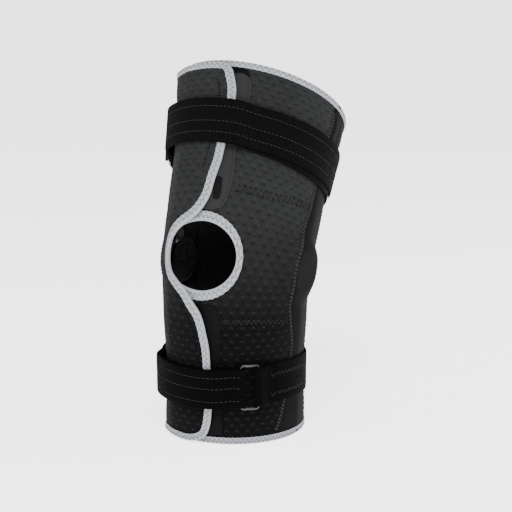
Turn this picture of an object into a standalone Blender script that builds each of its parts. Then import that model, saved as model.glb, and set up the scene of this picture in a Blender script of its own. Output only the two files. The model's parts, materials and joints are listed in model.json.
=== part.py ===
"""Hinged wraparound knee brace, standing on its lower hem with the knee partly bent.

Every soft piece follows one leg form: a centre path that bends at the knee, with an oval
section whose half width and depths change along it.  A place on the form is given by the
distance s along the path from the hinge line (up is positive), by the turn in degrees round
the leg from the front (towards +X is positive), and by the lift off the sleeve's outer face.
Metres, +Z up, the front faces -Y, the hinge line runs along X.
"""
import math

import bmesh
import bpy
import numpy as np
from mathutils import Matrix, Vector

OBJECT_NAME = "knee_brace"

# Leg form
BELOW = 0.146            # hinge line to the lower hem, along the centre path
ABOVE = 0.160            # hinge line to the upper hem
FLEXION = math.radians(32.0)
LEAN = math.radians(-6.5)
BEND_HALF = 0.060
STATIONS = np.array((-0.146, -0.080, -0.040, 0.0, 0.040, 0.088, 0.160))
HALF_WIDTH = np.array((0.0614, 0.0614, 0.0631, 0.0652, 0.0683, 0.0714, 0.0801))
FRONT_DEPTH = np.array((0.0618, 0.0619, 0.0632, 0.0669, 0.0682, 0.0718, 0.0795))
BACK_DEPTH = np.array((0.0638, 0.0639, 0.0658, 0.0698, 0.0712, 0.0746, 0.0830))
KNEE_X, KNEE_Y = 0.01472, -0.03553

# Sheets and gaps
GAP = 0.0003
CLOTH = 0.0035
COVER = 0.0022
FLAP_THICK = 0.0033
FLAP_LIFT = 0.0056
TAPE = 0.0070
TAPE_PROUD = 0.0005
TAPE_UNDER = 0.0004      # a binding's inner face below the cloth's
FLAT_RADIUS = 0.070      # mean leg radius, to lay the flap's edge out flat
MAIN_LEFT = -40.0
BACK_SEAM = 115.0
SEAM_S = (-0.146, 0.0265, 0.160)
SEAM_TURN = (75.0, 75.0, 82.0)
KNEE_FRONT, KNEE_SIDE, KNEE_BACK = 0.0335, 0.026, 0.080

# Flap edge, as (s, turn) from the upper hem to the lower one
FLAP_TOP = ((0.1525, -8.0), (0.1515, -2.0), (0.1485, 4.0), (0.1430, 8.6), (0.1360, 10.7),
            (0.1280, 11.2), (0.1200, 10.7), (0.0810, 7.7), (0.0650, 7.2), (0.0510, 4.7))
FLAP_KNEE = ((0.0350, 2.2), (0.0262, -3.3), (0.0213, -7.8), (0.0180, -14.0), (0.0123, -24.3),
             (0.0060, -28.8), (0.0, -30.3), (-0.0050, -29.3), (-0.0090, -26.8), (-0.0130, -21.5),
             (-0.0163, -15.8), (-0.0212, -9.3), (-0.0261, -5.8))
FLAP_LOW = ((-0.0345, 2.0), (-0.0530, 7.7), (-0.0810, 9.7), (-0.1150, 10.2), (-0.1240, 10.0),
            (-0.1310, 7.5), (-0.1355, 3.0), (-0.1375, -3.0), (-0.1380, -9.0))
UPPER_RUN = tuple((0.1525 + 0.00001 * i, turn) for i, turn in
                  enumerate((-22.0, -34.0, -42.0, -48.0, -54.0, -60.0, -70.0, -81.0)))[::-1]
LOWER_RUN = tuple((-0.1380 - 0.00001 * i, turn) for i, turn in
                  enumerate((-22.0, -34.0, -42.0, -48.0, -54.0, -60.0, -74.4)))
FLAP_PATH = UPPER_RUN + FLAP_TOP + FLAP_KNEE + FLAP_LOW + LOWER_RUN

# Kneecap opening
HOLE_S, HOLE_TURN = 0.0005, -1.5
HOLE_HALF_S, HOLE_HALF_TURN = 0.0208, 28.8
RING_S, RING_TURN = 0.0055, 5.6
HOLE_ARC = 125.0

# Hook strips, as (s, left turn, right turn) from the low end up, and the patch on one
UPPER_HOOK = ((0.0350, -4.0, 14.0), (0.0810, -4.0, 15.8), (0.1230, -4.0, 19.5),
              (0.1380, -4.0, 18.6), (0.1430, 1.0, 16.8), (0.1460, 5.0, 13.0))
LOWER_HOOK = ((-0.1380, -7.0, 17.6), (-0.1160, -7.0, 17.8), (-0.0785, -7.0, 16.0),
              (-0.0350, -7.0, 15.6))
HOOK_LIFT, HOOK_THICK = 0.0014, 0.0011
PATCH_TURNS, PATCH_S = (5.7, 9.6), (0.0362, 0.0520)
PATCH_LIFT, PATCH_THICK = 0.0024, 0.0006

# Loop linings of the bar pockets
LINING_HALF_TURN, LINING_LIFT = 13.0, -0.0057
LININGS = {"thigh": (0.031, 0.141), "calf": (-0.131, -0.031)}

# Hinges
HINGE_COVER_X = 0.0680
COVER_FLAT_R, COVER_FADE = 0.0168, 0.019   # flat disc over a head, and its blend
UPPER_HEAD_X, LOWER_HEAD_X, WASHER_X = 0.0631, 0.0598, 0.06145
BAR_THICK, ARM_THICK, BAR_HALF_WIDTH, HEAD_R = 0.0022, 0.0020, 0.0070, 0.0165
BAR_DEPTH = 0.0040
BORE_R, RIVET_R = 0.00308, 0.0030
UPPER_BAR_END, LOWER_BAR_END = 0.135, -0.125
PAD_R, PAD_THICK, PAD_X = 0.0210, 0.0050, 0.0541

# Straps and their wire rings
WEB = 0.0016
LAYER_GAP = 0.0004
FOLD_R = 0.00305
SETTLE = 0.012           # length over which webbing comes down from a ring
ROW_STEP = 0.0095        # spacing of the rows along the webbing
ANCHOR_BACK = 0.018      # length of the anchor's folded-back end
TAB_FOLD = 0.35          # turn from a strap's end to its tab's fold
WIRE_R = 0.00125
RING_CORNER = 0.0025     # radius of a ring's corners, along the wire
RING_SLACK = 0.0006      # room between the webbing's edge and the wire
UPPER_STRAP = {"centre": 0.1002, "drift": 0.003, "rise": 0.0, "half": 0.0195, "radius": 0.0750,
               "side": 1, "bar": -71.0, "far_bar": -85.0, "start": 240.0, "end": 95.0,
               "tab_end": 125.0, "anchor_end": -117.0}
LOWER_STRAP = {"centre": -0.0950, "drift": -0.002, "rise": 0.0045, "half": 0.0172,
               "radius": 0.0655, "side": -1, "bar": 33.5, "far_bar": 45.5, "start": -240.0,
               "end": -95.0, "tab_end": -125.0, "anchor_end": 100.0}
STRAP_CLEAR = 0.0007
STRAP_HUMP = 0.0060

COLOURS = {
    "fabric": (0.035, 0.036, 0.037, 1.0), "smooth": (0.030, 0.031, 0.032, 1.0),
    "lining": (0.055, 0.055, 0.056, 1.0), "tape": (0.50, 0.51, 0.54, 1.0),
    "strap": (0.014, 0.014, 0.015, 1.0), "hook": (0.060, 0.060, 0.062, 1.0),
    "label": (0.020, 0.020, 0.022, 1.0), "steel": (0.35, 0.35, 0.37, 1.0),
    "aluminium": (0.62, 0.62, 0.64, 1.0), "washer": (0.75, 0.74, 0.70, 1.0),
    "foam": (0.045, 0.045, 0.047, 1.0),
}


def smooth(t):
    """Smooth step: 0 below 0, 1 above 1."""
    t = np.clip(t, 0.0, 1.0)
    return t * t * (3.0 - 2.0 * t)


def table(s, values):
    """Cubic curve through the station values."""
    i = np.clip(np.searchsorted(STATIONS, s) - 1, 0, len(STATIONS) - 2)
    step = STATIONS[i + 1] - STATIONS[i]
    t = (s - STATIONS[i]) / step
    slope = np.gradient(values, STATIONS)
    return ((2 * t**3 - 3 * t**2 + 1) * values[i] + (t**3 - 2 * t**2 + t) * step * slope[i]
            + (3 * t**2 - 2 * t**3) * values[i + 1] + (t**3 - t**2) * step * slope[i + 1])


def bend_share(s):
    """How much of the knee's bend is behind the path at s."""
    return smooth((s + BEND_HALF) / (2.0 * BEND_HALF))


def centre_path():
    """Centre path of the leg, with the lower hem at height 0."""
    s = np.linspace(-0.150, 0.170, 641)
    tilt, lean = FLEXION * bend_share(s), LEAN * bend_share(s)
    way = np.stack((np.sin(lean), np.sin(tilt) * np.cos(lean), np.cos(tilt) * np.cos(lean)), 1)
    run = np.concatenate((np.zeros((1, 3)), np.cumsum((way[1:] + way[:-1]) / 2, 0) * (s[1] - s[0])))
    knee = np.array([np.interp(0.0, s, run[:, k]) for k in range(3)])
    hem = np.interp(-BELOW, s, run[:, 2])
    return s, run - (knee[0] - KNEE_X, knee[1] - KNEE_Y, hem)


PATH_S, PATH = centre_path()


def centre(s):
    """Point of the centre path at s."""
    return np.stack([np.interp(s, PATH_S, PATH[:, k]) for k in range(3)], -1)


def forward(s):
    """Unit vector from the centre path towards the front of the leg."""
    tilt = FLEXION * bend_share(s)
    return np.stack((np.zeros_like(tilt), -np.cos(tilt), np.sin(tilt)), -1)


def place(s, turn, lift):
    """Points on the leg form; lift is the distance off the sleeve's outer face."""
    s, turn, lift = np.broadcast_arrays(*(np.asarray(v, float) for v in (s, turn, lift)))
    angle = np.radians(turn)
    depth = np.where(np.cos(angle) > 0, table(s, FRONT_DEPTH), table(s, BACK_DEPTH)) + lift
    across = (table(s, HALF_WIDTH) + lift) * np.sin(angle)
    out = centre(s) + (depth * np.cos(angle))[..., None] * forward(s)
    out[..., 0] += across
    return out


def seam(s):
    """Turn of the seam between the front panel and the right side panel."""
    return np.interp(s, SEAM_S, SEAM_TURN)


def knee_edge(turn):
    """Half height of the knee band at this turn."""
    c = np.cos(np.radians(turn))
    reach = np.where(c > 0, KNEE_FRONT - KNEE_SIDE, KNEE_BACK - KNEE_SIDE)
    return KNEE_SIDE + reach * smooth(np.abs(c))


def cover_out(s, turn):
    """Lift of the sleeve's outer face, which is flattened over the hinge heads."""
    side = np.sign(np.sin(np.radians(turn)))
    along = np.radians(turn - 90.0 * side) * HALF_WIDTH[3]
    share = 1.0 - smooth((np.hypot(s, along) - COVER_FLAT_R) / COVER_FADE)
    sideways = np.maximum(np.abs(np.sin(np.radians(turn))), 0.5)
    flat = (HINGE_COVER_X - side * (centre(s)[..., 0] - KNEE_X)) / sideways
    return share * (flat - table(s, HALF_WIDTH))


def flap_out(s, turn):
    """Lift of the flap's outer face: it climbs from the side panel onto the front panel."""
    return cover_out(s, turn) + FLAP_LIFT * smooth((turn + 60.0) / 18.0)


def strap_under(turn):
    """Lift of the underside of a strap, which rides over the flap in front."""
    turn = (np.asarray(turn, float) + 180.0) % 360.0 - 180.0
    hump = smooth((turn + 64.0) / 18.0) * (1.0 - smooth((turn - 13.0) / 16.0))
    return STRAP_CLEAR + STRAP_HUMP * hump


# ---------------------------------------------------------------- scene set-up
for old in list(bpy.data.objects):
    bpy.data.objects.remove(old, do_unlink=True)
for old_mesh in list(bpy.data.meshes):
    bpy.data.meshes.remove(old_mesh)

PARTS = bpy.data.collections.new(OBJECT_NAME)
CUTTERS = bpy.data.collections.new("cutters")
for collection in (PARTS, CUTTERS):
    bpy.context.scene.collection.children.link(collection)
CUTTERS.hide_render = True


def empty(name, at, parent=None):
    """Empty that stands for one rigid body, at its joint."""
    obj = bpy.data.objects.new(name, None)
    obj.empty_display_size = 0.02
    obj.location = at
    PARTS.objects.link(obj)
    if parent:
        obj.parent = parent
        obj.location = Vector(at) - parent.matrix_world.translation
    bpy.context.view_layer.update()
    return obj


def material(name, colour, metal=0.0, rough=0.8):
    """Principled material of one node."""
    mat = bpy.data.materials.new(name)
    mat.use_nodes = True
    shader = mat.node_tree.nodes["Principled BSDF"]
    shader.inputs["Base Color"].default_value = colour
    shader.inputs["Metallic"].default_value = metal
    shader.inputs["Roughness"].default_value = rough
    return mat


def finish(obj, body, look):
    """Link a node, hang it on its body and give it its own material."""
    if obj.name not in PARTS.objects:
        PARTS.objects.link(obj)
    metal = 1.0 if look in ("steel", "aluminium") else 0.0
    obj.data.materials.append(material(obj.name, COLOURS[look], metal, 0.35 if metal else 0.85))
    obj.parent = body
    obj.matrix_parent_inverse = body.matrix_world.inverted()
    return obj


def mesh_object(name, verts, faces):
    """Object from points and faces, with its faces turned outwards."""
    mesh = bpy.data.meshes.new(name)
    mesh.from_pydata([tuple(map(float, v)) for v in verts], [], faces)
    bm = bmesh.new()
    bm.from_mesh(mesh)
    bmesh.ops.recalc_face_normals(bm, faces=bm.faces)
    bm.to_mesh(mesh)
    bm.free()
    return bpy.data.objects.new(name, mesh)


def loft(name, outer, inner, closed=False):
    """Closed solid between an outer and an inner grid of points of the same shape."""
    rows, cols = outer.shape[:2]
    index = np.arange(rows * cols).reshape(rows, cols)
    grid = np.concatenate((index, index[:, :1]), 1) if closed else index
    quads = np.stack((grid[:-1, :-1], grid[:-1, 1:], grid[1:, 1:], grid[1:, :-1]), -1).reshape(-1, 4)
    if closed:
        rims = [grid[0], grid[-1][::-1]]
    else:
        rims = [np.concatenate((grid[0], grid[1:, -1], grid[-1, -2::-1], grid[-2::-1, 0]))]
    walls = [(b, a, a + index.size, b + index.size) for rim in rims for a, b in zip(rim[:-1], rim[1:])]
    faces = quads.tolist() + (quads[:, ::-1] + index.size).tolist() + [tuple(map(int, w)) for w in walls]
    return mesh_object(name, np.concatenate((outer.reshape(-1, 3), inner.reshape(-1, 3))), faces)


def sheet(name, turns, ends, lift, thick, cols, rows, body, look):
    """Panel between two turns (functions of s) and two ends (functions of turn)."""
    a, b = np.linspace(0, 1, cols)[None, :], np.linspace(0, 1, rows)[:, None]
    s = np.zeros((rows, cols))
    for _ in range(12):
        turn = turns[0](s) * (1 - a) + turns[1](s) * a
        s = ends[0](turn) * (1 - b) + ends[1](turn) * b
    outer = lift(s, turn)
    return finish(loft(name, place(s, turn, outer), place(s, turn, outer - thick)), body, look)


def fixed(value):
    """Boundary that stays at one value."""
    return lambda v: np.full_like(v, value)


def lifted(height):
    """Outer face that keeps one lift everywhere."""
    return lambda s, turn: np.full_like(s, height)


def strip_edge(path, width, radius):
    """The (s, turn) path moved sideways by width, to the flap's own side."""
    pts = np.array(path)
    flat = np.stack((np.radians(pts[:, 1]) * radius, pts[:, 0]), 1)
    way = np.gradient(flat, axis=0)
    way /= np.linalg.norm(way, axis=1)[:, None]
    moved = flat + width * np.stack((way[:, 1], -way[:, 0]), 1)
    return np.stack((moved[:, 1], np.degrees(moved[:, 0] / radius)), 1)


def tape(name, start, end, body):
    """Length of the flap's edge binding between two positions along its path."""
    whole = np.array(FLAP_PATH)
    edges = np.stack((whole, strip_edge(FLAP_PATH, TAPE, FLAT_RADIUS)))
    along = np.arange(len(whole), dtype=float)
    keep = [start] + [v for v in along if start + 0.2 < v < end - 0.2] + [end]
    rows = np.stack([np.stack([np.interp(keep, along, edge[:, k]) for k in (0, 1)], -1) for edge in edges])
    top = flap_out(rows[..., 0], rows[..., 1]) + TAPE_PROUD
    low = top - TAPE_PROUD - FLAP_THICK - TAPE_UNDER
    outer = place(rows[..., 0], rows[..., 1], top)
    inner = place(rows[..., 0], rows[..., 1], low)
    return finish(loft(name, outer, inner), body, "tape")


def hem_ring(name, low, high, body):
    """Edge binding round a whole hem."""
    turn = np.linspace(-180, 180, 49)[None, :-1]
    s = np.array((low, high))[:, None]
    outer = place(s, turn, TAPE_PROUD)
    inner = place(s, turn, -CLOTH - TAPE_UNDER)
    return finish(loft(name, outer, inner, closed=True), body, "tape")


def revolve(name, profile, side, body, look):
    """Turned piece on the hinge line from (distance along X, radius) pairs."""
    mesh = bpy.data.meshes.new(name)
    pts = [(side * x, 0.0, r) for x, r in profile]
    mesh.from_pydata(pts, [(i, (i + 1) % len(pts)) for i in range(len(pts))], [])
    obj = bpy.data.objects.new(name, mesh)
    PARTS.objects.link(obj)
    screw = obj.modifiers.new("turn", 'SCREW')
    screw.axis = 'X'
    screw.steps = screw.render_steps = 32
    screw.use_merge_vertices = True
    screw.merge_threshold = 0.00001
    screw.use_normal_calculate = True
    bpy.context.view_layer.update()
    done = bpy.data.meshes.new_from_object(obj.evaluated_get(bpy.context.evaluated_depsgraph_get()))
    obj.modifiers.clear()
    obj.data = done
    done.name = name
    bm = bmesh.new()
    bm.from_mesh(done)
    bmesh.ops.remove_doubles(bm, verts=bm.verts, dist=0.00001)
    bmesh.ops.recalc_face_normals(bm, faces=bm.faces)
    bm.to_mesh(done)
    bm.free()
    done.transform(Matrix.Translation(HINGE))
    return finish(obj, body, look)


def disc(name, x, radius, thick, segments):
    """Round cutter or head on the hinge line, in the cutters' collection."""
    bpy.ops.mesh.primitive_cylinder_add(vertices=segments, radius=radius, depth=thick,
                                        location=HINGE + Vector((x, 0, 0)),
                                        rotation=(0, math.pi / 2, 0))
    obj = bpy.context.active_object
    obj.name = name
    bpy.ops.object.transform_apply(location=True, rotation=True, scale=True)
    for held in list(obj.users_collection):
        held.objects.unlink(obj)
    CUTTERS.objects.link(obj)
    obj.display_type = 'WIRE'
    obj.hide_render = True
    return obj


def bar(name, side, head_x, start, end, body):
    """Hinge bar: round head on the hinge line, then an arm that follows the leg."""
    s = np.linspace(start, end, 9)
    share = smooth((np.abs(s) - 0.017) / 0.015)
    on_leg = centre(s)[:, 0] + side * (table(s, HALF_WIDTH) - BAR_DEPTH)
    x = (1 - share) * (KNEE_X + side * head_x) + share * on_leg
    middle = centre(s)
    middle[:, 0] = x
    taper = BAR_HALF_WIDTH * np.ones_like(s)
    taper[-1] *= 0.6
    wide = taper[:, None] * forward(s)
    faces = []
    for out in (ARM_THICK / 2, -ARM_THICK / 2):
        shift = np.array((side * out, 0.0, 0.0))
        faces.append(np.stack((middle - wide + shift, middle + wide + shift), 1))
    obj = loft(name, faces[0], faces[1])
    PARTS.objects.link(obj)
    head = disc(name + "_head", side * head_x, HEAD_R, BAR_THICK, 32)
    hole = disc(name + "_bore", side * head_x, BORE_R, 0.012, 32)
    for other, how in ((head, 'UNION'), (hole, 'DIFFERENCE')):
        cut = obj.modifiers.new(how.lower(), 'BOOLEAN')
        cut.operation = how
        cut.solver = 'EXACT'
        cut.object = other
    return finish(obj, body, "aluminium")


def ribbon_path(strap, bar_turn, side, reach, back_reach):
    """Centre line of webbing that folds round a ring bar, as (turn, lift) with its normals."""
    low, high = WEB / 2, WEB / 2 + 2 * FOLD_R
    laid = WEB * 1.5 + LAYER_GAP
    n = max(3, int(reach / ROW_STEP))
    t = list(np.linspace(reach, 0.0, n))
    h = [low] * n
    for angle in np.linspace(-112.5, -247.5, 7):
        t.append(FOLD_R * math.cos(math.radians(angle)))
        h.append(low + FOLD_R + FOLD_R * math.sin(math.radians(angle)))
    drop = np.linspace(0.0, SETTLE, 5)
    t += list(drop)
    h += list(high + (laid - high) * smooth(drop / SETTLE))
    m = max(2, int((back_reach - SETTLE) / ROW_STEP) + 1)
    t += list(np.linspace(SETTLE, back_reach, m + 1)[1:])
    h += [laid] * m
    line = np.stack((t, h), 1)
    way = np.gradient(line, axis=0)
    way /= np.linalg.norm(way, axis=1)[:, None]
    normal = np.stack((-way[:, 1], way[:, 0]), 1)
    sides = []
    for sign in (0.5, -0.5):
        moved = line + sign * WEB * normal
        turn = bar_turn + side * np.degrees(moved[:, 0] / strap["radius"])
        sides.append((turn, moved[:, 1]))
    return sides


def strap_centre(strap, turn):
    """Where the strap's centre line lies: it drifts outwards at the back and rises at the sides."""
    angle = np.radians(turn)
    return strap["centre"] + strap["drift"] * (1 - np.cos(angle)) + strap["rise"] * np.sin(angle)**2


def webbing(name, strap, sides, body):
    """Webbing of the strap's width that follows two (turn, lift) lines."""
    grids = []
    for turn, lift in sides:
        edge = np.array((-strap["half"], strap["half"]))[:, None]
        s = strap_centre(strap, turn)[None, :] + edge
        grids.append(place(s, turn[None, :], strap_under(turn)[None, :] + lift[None, :]))
    return finish(loft(name, grids[0], grids[1]), body, "strap")


def strap_set(prefix, strap, body, ring_body, tab_body):
    """Strap, ring anchor, wire ring and peeling end tab."""
    side, radius = strap["side"], strap["radius"]

    def arc(a, b):
        return abs(math.radians(a - b)) * radius

    path = ribbon_path(strap, strap["bar"], side, arc(strap["start"], strap["bar"]),
                       arc(strap["end"], strap["bar"]))
    webbing(prefix + "_strap", strap, path, body)
    anchor = ribbon_path(strap, strap["far_bar"], -side, arc(strap["anchor_end"], strap["far_bar"]),
                         ANCHOR_BACK)
    webbing(prefix + "_ring_anchor", strap, anchor, body)

    laid = WEB + LAYER_GAP
    turn = np.linspace(strap["end"] + side * TAB_FOLD, strap["tab_end"], 5)
    webbing(prefix + "_strap_tab", strap,
            [(turn, np.full(5, laid + WEB)), (turn, np.full(5, laid))], tab_body)

    rise = WEB / 2 + FOLD_R
    half = strap["half"] + RING_SLACK + WIRE_R
    corner = RING_CORNER
    turns = (strap["bar"], strap["far_bar"])
    mid_turn, half_turn = sum(turns) / 2, (turns[1] - turns[0]) / 2
    sign = math.copysign(1.0, half_turn)
    points = []
    for quarter in range(4):
        for step in (0.0, 30.0, 60.0, 90.0):
            angle = math.radians(quarter * 90.0 + step)
            along = (abs(half_turn) - math.degrees(corner / radius)) * (1 if quarter in (0, 3) else -1)
            up = (half - corner) * (1 if quarter in (0, 1) else -1)
            a = mid_turn + sign * (along + math.degrees(corner / radius) * math.cos(angle))
            s = strap_centre(strap, mid_turn) + up + corner * math.sin(angle)
            points.append(place(s, a, strap_under(mid_turn) + rise))
    curve = bpy.data.curves.new(prefix + "_ring", 'CURVE')
    curve.dimensions = '3D'
    curve.bevel_depth = WIRE_R
    curve.bevel_resolution = 2
    curve.use_fill_caps = True
    spline = curve.splines.new('POLY')
    spline.points.add(len(points) - 1)
    for target, point in zip(spline.points, points):
        target.co = (*map(float, point), 1.0)
    spline.use_cyclic_u = True
    wire = bpy.data.objects.new(prefix + "_ring_wire", curve)
    PARTS.objects.link(wire)
    bpy.context.view_layer.update()
    mesh = bpy.data.meshes.new_from_object(wire)
    bpy.data.objects.remove(wire, do_unlink=True)
    ring = bpy.data.objects.new(prefix + "_ring", mesh)
    mesh.materials.clear()
    finish(ring, ring_body, "steel")


def ring_axis_point(strap):
    """Middle of the ring bar that the anchor holds."""
    s = strap_centre(strap, strap["far_bar"])
    return Vector(place(s, strap["far_bar"], strap_under(strap["far_bar"]) + WEB / 2 + FOLD_R))


def tab_axis_point(strap):
    """Middle of the tab's fold line, on its outer face."""
    turn = strap["end"] + strap["side"] * TAB_FOLD
    return Vector(place(strap_centre(strap, turn), turn, strap_under(turn) + 2 * WEB + LAYER_GAP))


# ---------------------------------------------------------------- bodies
HINGE = Vector(centre(np.array(0.0)))
calf = empty("calf_section", (0, 0, 0))
thigh = empty("thigh_section", HINGE)
lower_ring_body = empty("lower_ring_body", ring_axis_point(LOWER_STRAP), calf)
upper_ring_body = empty("upper_ring_body", ring_axis_point(UPPER_STRAP), thigh)
lower_tab_body = empty("lower_tab_body", tab_axis_point(LOWER_STRAP), calf)
upper_tab_body = empty("upper_tab_body", tab_axis_point(UPPER_STRAP), thigh)

# ---------------------------------------------------------------- sleeve
TOP_END, LOW_END = ABOVE - TAPE - GAP, -BELOW + TAPE + GAP
FLAP_TOP_END, FLAP_LOW_END = FLAP_TOP[0][0] - TAPE - GAP, FLAP_LOW[-1][0] + TAPE + GAP
ZONES = {
    "thigh": (lambda t: knee_edge(t) + GAP / 2, fixed(TOP_END)),
    "knee": (lambda t: -knee_edge(t) + GAP / 2, lambda t: knee_edge(t) - GAP / 2),
    "calf": (fixed(LOW_END), lambda t: -knee_edge(t) - GAP / 2),
}
FLAP_ZONES = dict(ZONES, thigh=(ZONES["thigh"][0], fixed(FLAP_TOP_END)),
                  calf=(fixed(FLAP_LOW_END), ZONES["calf"][1]))
BODY_OF = {"thigh": thigh, "knee": calf, "calf": calf}


def flap_side():
    """Turn of the flap cloth's edge beside its binding, as a function of s."""
    edge = strip_edge(FLAP_PATH, TAPE + 3 * GAP, FLAT_RADIUS)[len(UPPER_RUN):-len(LOWER_RUN)]
    return lambda s: np.interp(-s, -edge[:, 0], edge[:, 1])


FLAP_EDGE = flap_side()

for zone, rows in (("thigh", 6), ("knee", 7), ("calf", 6)):
    body = BODY_OF[zone]
    sheet(zone + "_flap", (lambda s: -seam(s) + 0.15, FLAP_EDGE), FLAP_ZONES[zone], flap_out,
          FLAP_THICK, 10, 17 if zone == "knee" else 12, body, "fabric")
    sheet(zone + "_side_right", (lambda s: seam(s) + 0.15, fixed(BACK_SEAM - 0.15)), ZONES[zone],
          cover_out, COVER, 8, rows, body, "smooth")
    sheet(zone + "_side_left", (fixed(-BACK_SEAM + 0.15), lambda s: -seam(s) - 0.15), ZONES[zone],
          cover_out, COVER, 8, rows, body, "smooth")
    sheet(zone + "_back_panel", (fixed(BACK_SEAM + 0.15), fixed(360 - BACK_SEAM - 0.15)), ZONES[zone],
          cover_out, CLOTH, 15, rows, body, "fabric")
    if zone != "knee":
        sheet(zone + "_front_panel", (fixed(MAIN_LEFT), lambda s: seam(s) - 0.15), ZONES[zone],
              cover_out, CLOTH, 13, rows, body, "fabric")
        for side, label in ((1, "right"), (-1, "left")):
            middle = 90.0 * side
            sheet(zone + "_lining_" + label,
                  (fixed(middle - LINING_HALF_TURN), fixed(middle + LINING_HALF_TURN)),
                  [fixed(s) for s in LININGS[zone]], lifted(LINING_LIFT), COVER, 4, 4, body, "lining")


def opening_edge(angle, grow_s, grow_turn):
    """Point of the kneecap opening's outline, grown outwards."""
    return np.stack((HOLE_S + (HOLE_HALF_S + grow_s) * np.sin(angle),
                     HOLE_TURN + (HOLE_HALF_TURN + grow_turn) * np.cos(angle)), -1)


def front_band():
    """Front panel's part of the knee band: a C round the kneecap opening."""
    angle = np.radians(np.linspace(-HOLE_ARC, HOLE_ARC, 27))
    inner = opening_edge(angle, RING_S + GAP, RING_TURN + 0.3)
    outer = np.empty_like(inner)
    for i, a in enumerate(angle):
        reach_turn = (seam(0.0) - 0.15 if math.cos(a) > 0 else MAIN_LEFT) - HOLE_TURN
        span = [abs(reach_turn) / max(abs(math.cos(a)), 1e-6)]
        edge = float(knee_edge(HOLE_TURN + 30 * math.cos(a))) - GAP / 2
        slope = (edge - math.copysign(HOLE_S, math.sin(a))) / (HOLE_HALF_S / HOLE_HALF_TURN)
        span.append(slope / max(abs(math.sin(a)), 1e-6))
        r = min(span)
        turn = HOLE_TURN + r * math.cos(a)
        s = HOLE_S + r * math.sin(a) * HOLE_HALF_S / HOLE_HALF_TURN
        limit = float(knee_edge(turn)) - GAP / 2
        turn = min(turn, float(seam(s)) - 0.15)
        outer[i] = (min(max(s, -limit), limit), turn)
    b = np.linspace(0, 1, 4)[:, None, None]
    rows = inner[None] * (1 - b) + outer[None] * b
    grids = [place(rows[..., 0], rows[..., 1], cover_out(rows[..., 0], rows[..., 1]) + lift)
             for lift in (0.0, -CLOTH)]
    return finish(loft("knee_front_panel", grids[0], grids[1]), calf, "fabric")


def opening_binding():
    """Binding of the front panel's side of the kneecap opening."""
    angle = np.radians(np.linspace(-HOLE_ARC, HOLE_ARC, 27))
    rows = np.stack((opening_edge(angle, 0, 0), opening_edge(angle, RING_S, RING_TURN)))
    grids = [place(rows[..., 0], rows[..., 1], lift) for lift in (TAPE_PROUD, -CLOTH - TAPE_UNDER)]
    return finish(loft("patella_binding", grids[0], grids[1]), calf, "tape")


front_band()
opening_binding()


def along_path(s):
    """Position along the flap's edge at which it passes this height."""
    heights = np.array(FLAP_PATH)[:, 0]
    return float(np.interp(-s, -heights, np.arange(len(heights), dtype=float)))


CUT_STEP = 0.02
tape("thigh_flap_binding", 0.0, along_path(KNEE_FRONT) - CUT_STEP, thigh)
tape("knee_flap_binding", along_path(KNEE_FRONT) + CUT_STEP, along_path(-KNEE_FRONT) - CUT_STEP, calf)
tape("calf_flap_binding", along_path(-KNEE_FRONT) + CUT_STEP, len(FLAP_PATH) - 1.0, calf)
hem_ring("top_binding", ABOVE - TAPE, ABOVE, thigh)
hem_ring("bottom_binding", -BELOW, -BELOW + TAPE, calf)


def strip_sides(rows):
    """Left and right turn of a strip as functions of s, from (s, left, right) rows."""
    s, low, high = np.array(rows).T
    return (lambda v: np.interp(v, s, low), lambda v: np.interp(v, s, high))


for name, edges, body in (("upper_hook_strip", UPPER_HOOK, thigh),
                          ("lower_hook_strip", LOWER_HOOK, calf)):
    sheet(name, strip_sides(edges), (fixed(edges[0][0]), fixed(edges[-1][0])),
          lifted(HOOK_LIFT), HOOK_THICK, 4, 9, body, "hook")
sheet("label_patch", [fixed(turn) for turn in PATCH_TURNS], [fixed(s) for s in PATCH_S],
      lifted(PATCH_LIFT), PATCH_THICK, 3, 3, thigh, "label")

# ---------------------------------------------------------------- straps
strap_set("upper", UPPER_STRAP, thigh, upper_ring_body, upper_tab_body)
strap_set("lower", LOWER_STRAP, calf, lower_ring_body, lower_tab_body)

# ---------------------------------------------------------------- hinges
for side, label in ((1, "right"), (-1, "left")):
    bar("upper_bar_" + label, side, UPPER_HEAD_X, 0.004, UPPER_BAR_END, thigh)
    bar("lower_bar_" + label, side, LOWER_HEAD_X, -0.004, LOWER_BAR_END, calf)
    revolve("hinge_washer_" + label, ((WASHER_X - 0.00025, BORE_R), (WASHER_X - 0.00025, 0.009),
                                      (WASHER_X + 0.00025, 0.009), (WASHER_X + 0.00025, BORE_R)),
            side, calf, "washer")
    revolve("pivot_rivet_" + label, ((0.0570, 0.0), (0.0570, 0.0044), (0.0574, 0.0052), (0.0583, 0.0052),
                                     (0.0583, RIVET_R), (0.0646, RIVET_R), (0.0646, 0.0060),
                                     (0.0651, 0.0060), (0.0655, 0.0050), (0.0655, 0.0)),
            side, calf, "steel")
    revolve("condyle_pad_" + label, ((PAD_X - PAD_THICK / 2, 0.0), (PAD_X - PAD_THICK / 2, PAD_R - 0.002),
                                     (PAD_X - PAD_THICK / 2 + 0.002, PAD_R),
                                     (PAD_X + PAD_THICK / 2 - 0.001, PAD_R),
                                     (PAD_X + PAD_THICK / 2, PAD_R - 0.001), (PAD_X + PAD_THICK / 2, 0.0)),
            side, calf, "foam")
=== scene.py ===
"""Looks of a hinged wraparound knee brace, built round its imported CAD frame.

Every soft piece lies on one leg form.  A place on the form is given by the distance s along
the leg's centre path from the hinge line (up is positive), by the turn in degrees round the
leg from the front (towards +X is positive), and by the lift off the sleeve's outer face.
Metres, +Z up, the front faces -Y.
"""

import json
import logging
import math
from dataclasses import dataclass, field
from enum import Enum
from typing import Callable, Sequence

import bpy
import numpy as np
from mathutils import Matrix, Vector


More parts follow.
